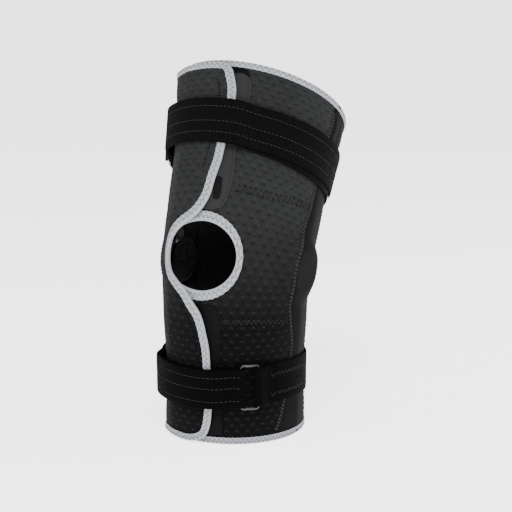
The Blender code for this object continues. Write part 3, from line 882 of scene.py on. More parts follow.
@dataclass(frozen=True)
class Webbing:
    """Near-black strap webbing with a short brushed pile; u runs across and v along."""

    name: str = "strap_webbing"
    low: tuple = (0.0003, 0.0003, 0.0003)
    high: tuple = (0.0032, 0.0033, 0.0034)
    pick: float = 0.0012
    knee_height: float = 0.15

    def build(self) -> bpy.types.Material:
        """Picks across the strap under a fine pile, with painted shade that darkens it below the knee.

        Returns:
            The material.
        """
        w = Wiring(self.name)
        across, along = w.cloth()
        picks = w.wave(along, self.pick)
        cords = w.wave(across, 1.6 * self.pick)
        pile = w.noise(0.00075, 4.0)
        # painted shade by height: the webbing is darkened below the knee
        lit_above_knee = w.clamp((w.height() - self.knee_height) / 0.10 + 0.5)
        tufts = w.noise(0.0024)
        share = 0.55 * pile + 0.14 * picks + 0.1 * cords + 0.22 * w.noise(0.018) + 0.9 * (tufts - 0.4)
        share = w.clamp(share * (0.30 + 0.70 * lit_above_knee))
        rough = w.clamp(0.78 + 0.16 * pile)
        return w.finish(w.colour(share, self.low, self.high), rough, 0.4 * picks + 0.2 * cords + 0.6 * pile,
                        0.00028, sheen=0.004, specular=0.028)


@dataclass(frozen=True)
class HookTape:
    """Hook side of the touch fastener: close rows of small hooks."""

    name: str
    low: tuple
    high: tuple
    row: float = 0.0012

    def build(self) -> bpy.types.Material:
        """Rows of dots, with a smooth selvage left to the mesh's rim.

        Returns:
            The material.
        """
        w = Wiring(self.name)
        across, along = w.cloth()
        rows = w.wave(along, self.row)
        dots = w.wave(across, 0.0014)
        share = w.clamp(0.30 + 0.34 * rows + 0.2 * rows * dots + 0.3 * w.noise(0.0009, 3.0) - 0.05)
        return w.finish(w.colour(share, self.low, self.high), 0.55, rows * (0.45 + 0.55 * dots), 0.0004,
                        sheen=0.0, specular=0.06)


@dataclass(frozen=True)
class Thread:
    """Sewing thread: two plies twisted together."""

    name: str
    low: tuple
    high: tuple

    def build(self) -> bpy.types.Material:
        """Slanting plies and a small change of shade from stitch to stitch.

        Returns:
            The material.
        """
        w = Wiring(self.name)
        across, along = w.cloth()
        ply = w.wave(across + along, 0.0006)
        share = w.clamp(0.45 * ply + 0.6 * w.noise(0.004))
        return w.finish(w.colour(share, self.low, self.high), 0.7, ply, 0.00006, sheen=0.0, specular=0.06)


@dataclass(frozen=True)
class BrushedMetal:
    """Metal drawn along one axis, dulled and scratched by wear."""

    name: str
    low: tuple
    high: tuple
    rough: float
    grain: tuple = (1.0, 1.0, 0.05)

    def build(self) -> bpy.types.Material:
        """Long grain lines, cloudy dull places and small scratches.

        Returns:
            The material.
        """
        w = Wiring(self.name)
        lines = w.noise(0.0004, 3.0, w.stretched(w.space(), self.grain))
        cloud = w.noise(0.009, 3.0)
        scratch = w.hill(w.noise(0.0035, 1.0, w.stretched(w.space(), (1.0, 0.35, 1.6))) - 0.5, 0.012)
        share = w.clamp(0.25 + 0.45 * lines + 0.4 * cloud - 0.25 * scratch)
        rough = w.clamp(self.rough + 0.16 * cloud - 0.08 + 0.1 * lines + 0.15 * scratch)
        return w.finish(w.colour(share, self.low, self.high), rough, lines - 0.4 * scratch, 0.00003,
                        metal=1.0)


@dataclass(frozen=True)
class Polymer:
    """Moulded plastic with a fine spark-eroded grain."""

    name: str
    low: tuple
    high: tuple
    rough: float = 0.45
    specular: float = 0.5

    def build(self) -> bpy.types.Material:
        """Grain and faint flow marks.

        Returns:
            The material.
        """
        w = Wiring(self.name)
        grain = w.noise(0.0005, 2.0)
        flow = w.noise(0.008, 2.0, w.stretched(w.space(), (1.0, 2.5, 1.0)))
        return w.finish(w.colour(w.clamp(0.3 * grain + 0.8 * flow), self.low, self.high),
                        w.clamp(self.rough + 0.15 * grain), grain, 0.00004, specular=self.specular)


@dataclass(frozen=True)
class Floor:
    """Pale studio floor with the least grain."""

    name: str = "studio_floor"
    glow: float = 2.4

    def build(self) -> bpy.types.Material:
        """Near-white paper that is lit through from below.

        Returns:
            The material.
        """
        w = Wiring(self.name)
        grain = w.noise(0.01, 2.0)
        w.shader.inputs["Emission Color"].default_value = (1.0, 1.0, 1.0, 1.0)
        w.shader.inputs["Emission Strength"].default_value = self.glow
        return w.finish(w.colour(grain, (0.90, 0.90, 0.90), (0.93, 0.93, 0.93)), 0.9, grain, 0.00005)


@dataclass
class Finishes:
    """Every material of the brace, built once."""

    cloth: bpy.types.Material = field(default_factory=lambda: EmbossedCloth().build())
    jersey: bpy.types.Material = field(default_factory=lambda: SmoothCloth().build())
    lining: bpy.types.Material = field(default_factory=lambda: LoopLining().build())
    tape: bpy.types.Material = field(default_factory=lambda: EdgeTape().build())
    webbing: bpy.types.Material = field(default_factory=lambda: Webbing().build())
    upper_hook: bpy.types.Material = field(default_factory=lambda: HookTape(
        "upper_hook_tape", (0.0070, 0.0071, 0.0074), (0.027, 0.0275, 0.0283)).build())
    # copy of the upper hook tape darkened as painted shade below the knee; the corner patch uses it too
    shaded_hook: bpy.types.Material = field(default_factory=lambda: HookTape(
        "shaded_hook_tape", (0.0003, 0.0003, 0.0004), (0.0016, 0.0017, 0.0020)).build())
    patch: bpy.types.Material = field(default_factory=lambda: Polymer(
        "patch_rubber", (0.001, 0.001, 0.0012), (0.005, 0.005, 0.0055), 0.6, 0.06).build())
    tape_thread: bpy.types.Material = field(default_factory=lambda: Thread(
        "tape_thread", (0.050, 0.053, 0.060), (0.13, 0.135, 0.15)).build())
    strap_thread: bpy.types.Material = field(default_factory=lambda: Thread(
        "strap_thread", (0.014, 0.0143, 0.0147), (0.044, 0.0447, 0.046)).build())
    seam_thread: bpy.types.Material = field(default_factory=lambda: Thread(
        "seam_thread", (0.009, 0.009, 0.0093), (0.028, 0.0285, 0.029)).build())
    pocket_thread: bpy.types.Material = field(default_factory=lambda: Thread(
        "pocket_thread", (0.015, 0.0152, 0.0157), (0.048, 0.0487, 0.050)).build())
    hole: bpy.types.Material = field(default_factory=lambda: Thread(
        "needle_hole", (0.0002, 0.0002, 0.0002), (0.0006, 0.0006, 0.0006)).build())
    bright_wire: bpy.types.Material = field(default_factory=lambda: BrushedMetal(
        "bright_steel_wire", (0.42, 0.42, 0.43), (0.72, 0.72, 0.73), 0.24).build())
    # the lower ring's wire: the ring steel with its colour darkened as painted shade
    shaded_wire: bpy.types.Material = field(default_factory=lambda: BrushedMetal(
        "shaded_steel_wire", (0.012, 0.012, 0.013), (0.075, 0.075, 0.078), 0.32).build())
    bar: bpy.types.Material = field(default_factory=lambda: BrushedMetal(
        "bar_aluminium", (0.50, 0.51, 0.52), (0.74, 0.75, 0.76), 0.30).build())
    rivet: bpy.types.Material = field(default_factory=lambda: BrushedMetal(
        "rivet_steel", (0.40, 0.40, 0.41), (0.66, 0.66, 0.67), 0.22, (1.0, 1.0, 1.0)).build())
    washer: bpy.types.Material = field(default_factory=lambda: Polymer(
        "washer_acetal", (0.62, 0.60, 0.55), (0.74, 0.72, 0.68)).build())


# ------------------------------------------------------------------ sleeve


@dataclass
class Outline:
    """Edges that the sleeve's pieces share, in (s, turn)."""

    seam_s: tuple = (-0.146, -0.120, -0.076, -0.029, 0.0, 0.037, 0.070, 0.110, 0.160)
    seam_turn: tuple = (60.0, 70.0, 80.4, 76.0, 74.5, 81.0, 85.0, 86.0, 85.0)
    back_seam: float = 115.0
    flap: tuple = ((0.1590, -76.0), (0.1582, -58.0), (0.1562, -44.0), (0.1553, -28.0), (0.1552, -12.0),
                   (0.1551, -3.5), (0.1540, 3.2), (0.1500, 6.5), (0.1425, 8.8), (0.1315, 11.0),
                   (0.1200, 11.3), (0.0805, 8.4), (0.0640, 7.3), (0.0505, 5.0), (0.0350, 2.0),
                   (0.0262, -3.3), (0.0210, -9.5), (0.0172, -17.0), (0.0118, -25.0), (0.0060, -29.4),
                   (0.0, -30.8), (-0.0055, -29.6), (-0.0100, -26.2), (-0.0150, -19.0), (-0.0205, -10.5),
                   (-0.0262, -5.0), (-0.0335, 1.8), (-0.0530, 8.0), (-0.0810, 9.9), (-0.1150, 10.4),
                   (-0.1290, 9.0), (-0.1372, 6.0), (-0.1425, -0.5), (-0.1448, -9.0), (-0.1447, -20.0),
                   (-0.1440, -34.0), (-0.1450, -52.0), (-0.1456, -76.0))
    flap_lift: float = 0.0056
    hole: tuple = (0.0005, -1.5)
    hole_half: tuple = (0.0208, 28.8)
    hole_arc: float = 125.0
    hole_left: float = 6.5

    def seam(self, s: np.ndarray) -> np.ndarray:
        """Turn of the seam between the front panel and a side panel."""
        return through(s, self.seam_s, self.seam_turn)

    def flap_path(self, step: float = 0.0011) -> np.ndarray:
        """The flap's free edge, from the top of the left side to its bottom."""
        return even_path(self.flap, step)

    def flap_rise(self, turn: np.ndarray) -> np.ndarray:
        """How far the flap stands off the sleeve: it climbs onto the front panel."""
        return self.flap_lift * smooth((turn + 60.0) / 18.0)

    def hole_path(self, grow: float, step: int = 3) -> np.ndarray:
        """The kneecap opening's edge, an oval arc that the flap closes.

        Past the oval's top and bottom the arc moves on to the left, under the flap's edge.

        Args:
            grow: distance outside the edge.
            step: degrees between points.

        Returns:
            Rows of (s, turn), from the arc's bottom end to its top end.
        """
        angle = np.radians(np.arange(-self.hole_arc, self.hole_arc + 1, step))
        s = self.hole[0] + (self.hole_half[0] + grow) * np.sin(angle)
        turn = self.hole[1] + (self.hole_half[1] + math.degrees(grow / FLAT_RADIUS)) * np.cos(angle)
        turn = turn - self.hole_left * smooth((np.degrees(np.abs(angle)) - 92.0) / 40.0)
        return np.stack((s, turn), 1)


@dataclass
class Sleeve:
    """Front panel, flap, back panel and the two side panels, each a single cut of cloth."""

    form: LegForm
    maker: Maker
    outline: Outline
    finishes: Finishes
    thick: float = 0.0035
    side_thick: float = 0.0022
    flap_thick: float = 0.0033
    weave: float = 0.00108
    side_weave: float = 0.0016
    front_left: float = -40.0

    def grid(self, ends: tuple, sides: tuple, step: float) -> tuple[np.ndarray, np.ndarray]:
        """Places of a panel between two ends and two sides.

        The turn lies between the sides at its s, and s between the ends at its turn, both
        worked out in turns until they agree.

        Args:
            ends: lower and upper s, as functions of the turn.
            sides: left and right turn, as functions of s.
            step: distance between neighbouring places.

        Returns:
            The grids of s and turn.
        """
        rows = int((self.form.above + self.form.below) / step)
        middle = np.zeros(1)
        cols = int(float(np.radians(sides[1](middle) - sides[0](middle))[0]) * 0.076 / step) + 8
        a, b = np.linspace(0, 1, cols)[None, :], np.linspace(0, 1, rows)[:, None]
        s = np.zeros((rows, cols))
        for _ in range(14):
            turn = sides[0](s) * (1 - a) + sides[1](s) * a
            s = ends[0](turn) * (1 - b) + ends[1](turn) * b
        return s, turn

    def hem(self, s: float) -> Callable[[np.ndarray], np.ndarray]:
        """End of a panel that stays at one s."""
        return lambda turn: np.full_like(turn, s)

    def side(self, turn: float) -> Callable[[np.ndarray], np.ndarray]:
        """Side of a panel that stays at one turn."""
        return lambda s: np.full_like(s, turn)

    def rolled(self, turn: np.ndarray, lines: Sequence[np.ndarray | float]) -> np.ndarray:
        """Lift of the cloth beside sewn lines, where the thread pulls it in.

        Args:
            turn: places round the leg.
            lines: turn of each line at those places.

        Returns:
            Sum of one bell curve per line, 0.7 mm deep and 2 mm wide.
        """
        pulled = sum(bell(np.radians(turn - line) * FLAT_RADIUS, 0.0020) for line in lines)
        return -0.0007 * np.clip(pulled, 0.0, 1.0)

    def cross_rows(self, s: np.ndarray, turn: np.ndarray) -> np.ndarray:
        """Lift beside the two level zigzag rows above and below the knee, on the front panel.

        Args:
            s: places along the leg.
            turn: places round the leg.

        Returns:
            Sum of one bell curve per row, 0.5 mm deep.
        """
        upper, lower = CrossSeams.upper_line(turn), CrossSeams.lower_line(turn)
        here = smooth((turn - 15.0) / 4.0)
        return -0.0005 * here * (bell(s - upper, 0.0026) + bell(s - lower, 0.0026))

    def knee_creases(self, s: np.ndarray, turn: np.ndarray) -> np.ndarray:
        """Lift of the soft creases behind the bent knee, as waves along s that fade sideways.

        Args:
            s: places along the leg.
            turn: places round the leg.

        Returns:
            The lift, 0 or less.
        """
        round_turn = np.radians(turn - 180.0)
        wave = np.cos(2 * np.pi * (s + 0.004 * np.cos(3 * round_turn)) / 0.019)
        return 0.0011 * bell(s, 0.034) * bell(round_turn, 0.62) * (wave - 1.0)

    def piece(self, name: str, s: np.ndarray, turn: np.ndarray, out: np.ndarray, relief: np.ndarray,
              thick: float, look: bpy.types.Material, nodes: Sequence[str],
              keep: np.ndarray | None = None) -> bpy.types.Object:
        """Args:
            name: the piece's name.
            s: grid of places along the leg.
            turn: grid of places round it.
            out: lift of the outer face.
            relief: what the pattern adds to the outer face alone.
            thick: thickness.
            look: material of the outer face.
            nodes: CAD nodes that it stands for.
            keep: which cells of the grid are there.

        Returns:
            The piece.
        """
        across = np.radians(turn) * FLAT_RADIUS
        outer = self.form.place(s, turn, out + relief)
        inner = self.form.place(s, turn, out - thick)
        obj = self.maker.shell(name, outer, inner, across, s, [look, self.finishes.lining], keep)
        middle = self.form.place(s, turn, out - thick / 2)
        sides = middle[1:, :-1] - middle[:-1, :-1], middle[:-1, 1:] - middle[:-1, :-1]
        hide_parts(*nodes)
        bend(obj, self.form)
        return obj

    def front_panel(self) -> bpy.types.Object:
        """Front panel, cut out round the kneecap and open on its left.

        Places within the opening's edge drop out, and the last ones inside it are moved out
        to the edge, along the line from the opening's middle.

        Returns:
            The piece.
        """
        o = self.outline
        s, turn = self.grid((self.hem(-self.form.below + 0.0012), self.hem(self.form.above - 0.0012)),
                            (self.side(self.front_left), o.seam), self.weave)
        out = self.form.cloth_out(s, turn)
        pulled = self.rolled(turn, (o.seam(s),)) + self.cross_rows(s, turn)
        relief = DIMPLES.relief(np.radians(turn) * FLAT_RADIUS, s)
        edge = (o.hole_path(0.0016) - np.array(o.hole)) / np.array(o.hole_half)
        upper = edge[edge[:, 0] >= 0.0]
        angle = np.arctan2(upper[:, 0], upper[:, 1])
        up, over = (s - o.hole[0]) / o.hole_half[0], (turn - o.hole[1]) / o.hole_half[1]
        limit = np.interp(np.arctan2(np.abs(up), over), angle, np.hypot(upper[:, 0], upper[:, 1]))
        reach = np.hypot(up, over)
        gone = (reach < limit) | ((over < upper[-1, 1]) & (np.abs(up) < 1.05))
        last = gone & (reach > 0.9 * limit) & (reach < limit)
        pull_to = np.where(last, limit / np.maximum(reach, 1e-6), 1.0)
        s, turn = o.hole[0] + (s - o.hole[0]) * pull_to, o.hole[1] + (turn - o.hole[1]) * pull_to
        keep = ~(gone[:-1, :-1] & gone[1:, :-1] & gone[:-1, 1:] & gone[1:, 1:])
        return self.piece("front_panel", s, turn, out + pulled, relief, self.thick, self.finishes.cloth,
                          ("thigh_front_panel", "knee_front_panel", "calf_front_panel"),
                          keep)

    def flap(self) -> bpy.types.Object:
        """Flap that wraps from the left side over the front panel.

        Returns:
            The piece.
        """
        o = self.outline
        path = o.flap_path()
        edge_s, edge_turn = (grid[0] for grid in sideways(path, np.array((0.0014,))))
        corner_top = int(np.argmax(edge_turn > -6.0))
        corner_low = len(edge_turn) - 1 - int(np.argmax(edge_turn[::-1] > -6.0))
        edge = slice(corner_top, corner_low + 1)

        def right(s: np.ndarray) -> np.ndarray:
            """Turn of the free edge at s."""
            return np.interp(-s, -edge_s[edge], edge_turn[edge])

        def top(turn: np.ndarray) -> np.ndarray:
            """Upper end, level past the corner."""
            return np.interp(turn, edge_turn[:corner_top + 1], edge_s[:corner_top + 1])

        def low(turn: np.ndarray) -> np.ndarray:
            """Lower end, level past the corner."""
            return np.interp(turn, edge_turn[corner_low:][::-1], edge_s[corner_low:][::-1])

        s, turn = self.grid((low, top), (lambda v: -o.seam(v), right), self.weave)
        out = self.form.cloth_out(s, turn) + o.flap_rise(turn)
        free = np.radians(right(s) - turn) * FLAT_RADIUS
        pulled = self.rolled(turn, (-o.seam(s),)) - 0.0005 * bell(free - 0.0105, 0.0016)
        relief = DIMPLES.relief(np.radians(turn) * FLAT_RADIUS, s)
        return self.piece("wrap_flap", s, turn, out + pulled, relief, self.flap_thick, self.finishes.cloth,
                          ("thigh_flap", "knee_flap", "calf_flap"))

    def back_panel(self) -> bpy.types.Object:
        """Back panel, creased behind the knee.

        Returns:
            The piece.
        """
        o = self.outline
        s, turn = self.grid((self.hem(-self.form.below + 0.0012), self.hem(self.form.above - 0.0012)),
                            (self.side(o.back_seam), self.side(360.0 - o.back_seam)), 1.12 * self.weave)
        out = self.form.cloth_out(s, turn) + self.knee_creases(s, turn)
        pulled = self.rolled(turn, (o.back_seam, 360.0 - o.back_seam))
        relief = DIMPLES.relief(np.radians(turn) * FLAT_RADIUS, s)
        return self.piece("back_panel", s, turn, out + pulled, relief, self.thick, self.finishes.cloth,
                          ("thigh_back_panel", "knee_back_panel", "calf_back_panel"))

    def side_panel(self, side: int) -> bpy.types.Object:
        """Smooth pocket panel over a hinge.

        Args:
            side: 1 for the right, -1 for the left.

        Returns:
            The piece.
        """
        o = self.outline
        label = "right" if side > 0 else "left"
        ends = (self.hem(-self.form.below + 0.0012), self.hem(self.form.above - 0.0012))
        sides = (o.seam, self.side(o.back_seam)) if side > 0 else \
            (self.side(-o.back_seam), lambda v: -o.seam(v))
        s, turn = self.grid(ends, sides, self.side_weave)
        out = self.form.cloth_out(s, turn)
        beside = np.radians(turn - 90.0 * side) * FLAT_RADIUS
        bar = 0.0006 * bell(beside, 0.0075) * smooth((np.abs(s) - 0.02) / 0.02)
        pulled = self.rolled(turn, (side * o.seam(s), side * o.back_seam))
        return self.piece("side_panel_" + label, s, turn, out + bar + pulled, 0.0, self.side_thick,
                          self.finishes.jersey,
                          tuple(f"{zone}_side_{label}" for zone in ("thigh", "knee", "calf")))

    def build(self) -> None:
        """Makes the five cuts of cloth."""
        self.front_panel()
        self.flap()
        self.back_panel()
        for side in (1, -1):
            self.side_panel(side)


# ------------------------------------------------------------------ bindings


@dataclass
class Bindings:
    """Grey tapes folded over the sleeve's edges, with their zigzag stitching."""

    form: LegForm
    maker: Maker
    outline: Outline
    finishes: Finishes
    width: float = 0.0063
    hole_width: float = 0.0060
    narrow: float = 0.36
    proud: float = 0.0006
    under: float = 0.0004
    wall: float = 0.00045
    stitch: float = 0.0023
    thread: float = 0.00023

    def section(self, width: float, thick: float, wall: float) -> tuple[np.ndarray, np.ndarray]:
        """Cross-section of a folded tape: outer leg, half round over the edge, inner leg.

        Args:
            width: length of the legs.
            thick: distance between the legs' outer faces.
            wall: how far inside the outer face the section lies.

        Returns:
            Distance from the edge and height over the inner leg's face, point by point.
        """
        radius = thick / 2
        leg = np.linspace(width, radius, 11)[:-1]
        arc = np.linspace(0.0, math.pi, 13)
        across = np.concatenate((leg, radius - (radius - wall) * np.sin(arc), leg[::-1]))
        high = np.concatenate((np.full(10, thick - wall), radius + (radius - wall) * np.cos(arc),
                               np.full(10, wall)))
        return across, high

    def share_of_width(self, name: str, path: np.ndarray) -> np.ndarray:
        """Share of its full width that a tape shows; the flap's is drawn thin beside the kneecap."""
        thin = bell(path[:, 0], 0.021) if name == "flap_tape" else np.zeros(len(path))
        return 1.0 - self.narrow * thin

    def tape(self, name: str, path: np.ndarray, width: float, thick: float,
             lift: Lift) -> bpy.types.Object:
        """Folded tape along a path of the sleeve's edge.

        The outer leg is crowned by 0.15 mm, pulled down along the stitching, and its free
        rim is scalloped by a cosine of the stitch length.

        Args:
            name: the piece's name.
            path: rows of (s, turn); the cloth lies to the right of it.
            width: width of the tape's legs.
            thick: thickness over both legs.
            lift: lift of the cloth's outer face at (s, turn).

        Returns:
            The object, riding on nothing yet.
        """
        run = run_of(path)
        scallop = 0.00022 * np.cos(2 * np.pi * run / (2 * self.stitch))[None, :]
        faces = []
        for wall in (0.0, self.wall):
            across, high = self.section(width, thick, wall)
            near_rim = smooth((across - 0.6 * width) / (0.4 * width))[:, None]
            reach = across[:, None] * self.share_of_width(name, path)[None, :]
            s, turn = sideways(path, reach + near_rim * scallop)
            top = (high > thick / 2)[:, None]
            crown = 0.00018 * window(across, 0.0, width) - 0.00030 * bell(across - 0.47 * width, 0.0011)
            stitched = crown[:, None] * (0.75 + 0.25 * np.cos(2 * np.pi * run / self.stitch)[None, :])
            height = lift(s, turn) + high[:, None] - thick + self.proud + top * stitched
            faces.append(self.form.place(s, turn, height))
        across = np.broadcast_to(self.section(width, thick, 0.0)[0][:, None], (len(faces[0]), len(path)))
        along = np.broadcast_to(run[None, :], across.shape)
        obj = self.maker.shell(name, faces[0], faces[1], across, along, [self.finishes.tape])
        return obj

    def zigzag(self, name: str, path: np.ndarray, share: np.ndarray, near: float, far: float,
               lift: Lift, look: bpy.types.Material) -> bpy.types.Object:
        """Zigzag stitches that run between two distances beside a path.

        Args:
            name: the row's name.
            path: rows of (s, turn).
            share: share of both distances that holds at each point of the path.
            near: distance of every second stitch hole from the path.
            far: distance of the holes between them.
            lift: lift of the tape's outer face at (s, turn).
            look: the thread's material.

        Returns:
            The object, riding on nothing yet.
        """
        run = run_of(path)
        at = np.arange(0.002, run[-1] - 0.002, self.stitch)
        on = np.stack([np.interp(at, run, path[:, k]) for k in (0, 1)], 1)
        beside = np.where(np.arange(len(at)) % 2 == 0, near, far) * np.interp(at, run, share)
        s, turn = sideways(on, beside[None, :])
        places = np.stack((s[0], turn[0], lift(s[0], turn[0])), 1)
        return self.maker.threads(name, places[:-1], places[1:], self.thread, 0.00022, look)

    def dress(self, obj: bpy.types.Object, body: Body | None) -> bpy.types.Object:
        """Hangs a piece on one body; otherwise hands it to bend, which leaves it unattached."""
        return follow(obj, body) if body else bend(obj, self.form)

    def build(self) -> None:
        """Makes the hem, flap and opening tapes and their stitches."""
        o, form, look = self.outline, self.form, self.finishes.tape_thread
        main = 0.0035 + self.proud + self.under
        flap = 0.0033 + self.proud + self.under

        def on_flap(s: np.ndarray, turn: np.ndarray) -> np.ndarray:
            """Lift of the flap's outer face."""
            return form.cloth_out(s, turn) + o.flap_rise(turn)

        turns = np.arange(-38.5, 283.6, 0.9)
        top_path = np.stack((np.full_like(turns, form.above), turns), 1)
        low_path = np.stack((np.full_like(turns, -form.below), turns[::-1]), 1)
        jobs = (("top_hem_tape", top_path, self.width, main, form.cloth_out, Body.THIGH, ("top_binding",)),
                ("bottom_hem_tape", low_path, self.width, main, form.cloth_out, Body.CALF,
                 ("bottom_binding",)),
                ("flap_tape", o.flap_path(), self.width, flap, on_flap, None,
                 ("thigh_flap_binding", "knee_flap_binding", "calf_flap_binding")),
                ("opening_tape", even_path(o.hole_path(0.0), 0.0009), self.hole_width, main, form.cloth_out,
                 None, ("patella_binding",)))
        for name, path, width, thick, lift, body, nodes in jobs:
            tape = self.tape(name, path, width, thick, lift)
            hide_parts(*nodes)
            self.dress(tape, body)

            def over(s: np.ndarray, turn: np.ndarray, base: Lift = lift) -> np.ndarray:
                """Lift of the stitches on the tape."""
                return base(s, turn) + self.proud - 0.00012

            rows = self.zigzag(name + "_stitches", path, self.share_of_width(name, path), 0.27 * width,
                               0.68 * width, over, look)
            self.dress(rows, body)
            LOG.info("%s with %d faces", name, len(tape.data.polygons))


# ------------------------------------------------------------------ seams


@dataclass
class CrossSeams:
    """Dark zigzag rows along the panels' seams and across the front panel."""

    form: LegForm
    maker: Maker
    outline: Outline
    finishes: Finishes
    half: float = 0.0024
    pitch: float = 0.0024
    thread: float = 0.00024
    pocket_thread: float = 0.00030
    pocket_pitch: float = 0.0031
    flap_row_in: float = 0.0135

    @staticmethod
    def upper_line(turn: np.ndarray) -> np.ndarray:
        """The s of the level row above the knee."""
        return through(turn, (15.0, 23.0, 48.5, 79.0), (0.0455, 0.0460, 0.0478, 0.0540))

    @staticmethod
    def lower_line(turn: np.ndarray) -> np.ndarray:
        """The s of the level row below the knee."""
        return through(turn, (15.0, 44.0, 76.0), (-0.0400, -0.0395, -0.0415))

    def rows(self) -> dict[str, np.ndarray]:
        """Paths of all rows.

        Returns:
            Rows of (s, turn) for each row's name.
        """
        s = np.arange(-self.form.below + 0.009, self.form.above - 0.009, 0.0015)
        found = {}
        for side, label in ((1, "right"), (-1, "left")):
            found["front_seam_" + label] = np.stack((s, side * self.outline.seam(s)), 1)
            back = np.full_like(s, side * self.outline.back_seam)
            found["back_seam_" + label] = np.stack((s, back), 1)
        over = np.arange(20.0, 83.0, 1.0)
        under = np.arange(17.5, 76.0, 1.0)
        found["upper_cross_row"] = np.stack((self.upper_line(over), over), 1)
        found["lower_cross_row"] = np.stack((self.lower_line(under), under), 1)
        path = self.outline.flap_path()
        in_s, in_turn = (grid[0] for grid in sideways(path, np.array((self.flap_row_in,))))
        row = np.stack((in_s, in_turn), 1)
        found["flap_upper_row"] = row[(path[:, 1] > 0.0) & (path[:, 0] > 0.052) & (path[:, 0] < 0.1425)]
        found["flap_lower_row"] = row[(path[:, 1] > 0.0) & (path[:, 0] > -0.129) & (path[:, 0] < -0.034)]
        return found

    def build(self) -> None:
        """Sews each row as threads with dark needle holes: zigzag, but straight on the flap."""
        for name, path in self.rows().items():
            self.row(name, path, 0.0 if name.startswith("flap") else self.half)
            if name.startswith("front"):
                self.row(name + "_crossed", path, -self.half)
        LOG.info("seams: %d rows", len(self.rows()))

    def row(self, name: str, path: np.ndarray, half: float) -> None:
        """Sews one row: threads from side to side, and a dark needle hole at each turn.

        Args:
            name: the row's name.
            path: rows of (s, turn) of its middle.
            half: distance of the first stitch from the middle, 0 for a straight row.
        """
        pocket = name.startswith("front")
        run = run_of(path)
        at = np.arange(0.0, run[-1], self.pocket_pitch if pocket else self.pitch)
        on = np.stack([np.interp(at, run, path[:, k]) for k in (0, 1)], 1)
        s, turn = sideways(on, np.where(np.arange(len(at)) % 2 == 0, half, -half)[None, :])
        flap = name.startswith(("flap", "front_seam_left"))
        rise = self.form.cloth_out(s[0], turn[0]) + (self.outline.flap_rise(turn[0]) if flap else 0.0)
        places = np.stack((s[0], turn[0], rise - 0.00035), 1)
        look = self.finishes.pocket_thread if pocket else self.finishes.seam_thread
        thread = self.pocket_thread if pocket else self.thread
        sewn = self.maker.threads(name, places[:-1], places[1:], thread, 0.00030, look)
        bend(sewn, self.form)
        reach = np.array((0.00055, 0.0, 0.0))
        holes = places + np.array((0.0, 0.0, 0.00015))
        marks = self.maker.threads(name + "_holes", holes - reach, holes + reach, 0.00070, 0.0,
                                   self.finishes.hole)
        bend(marks, self.form)


# ------------------------------------------------------------------ hook strips


@dataclass(frozen=True)
class StripShape:
    """Outline of a fastener strip: its turn limits at rising s."""

    name: str
    s: tuple
    left: tuple
    right: tuple
    out: float
    thick: float


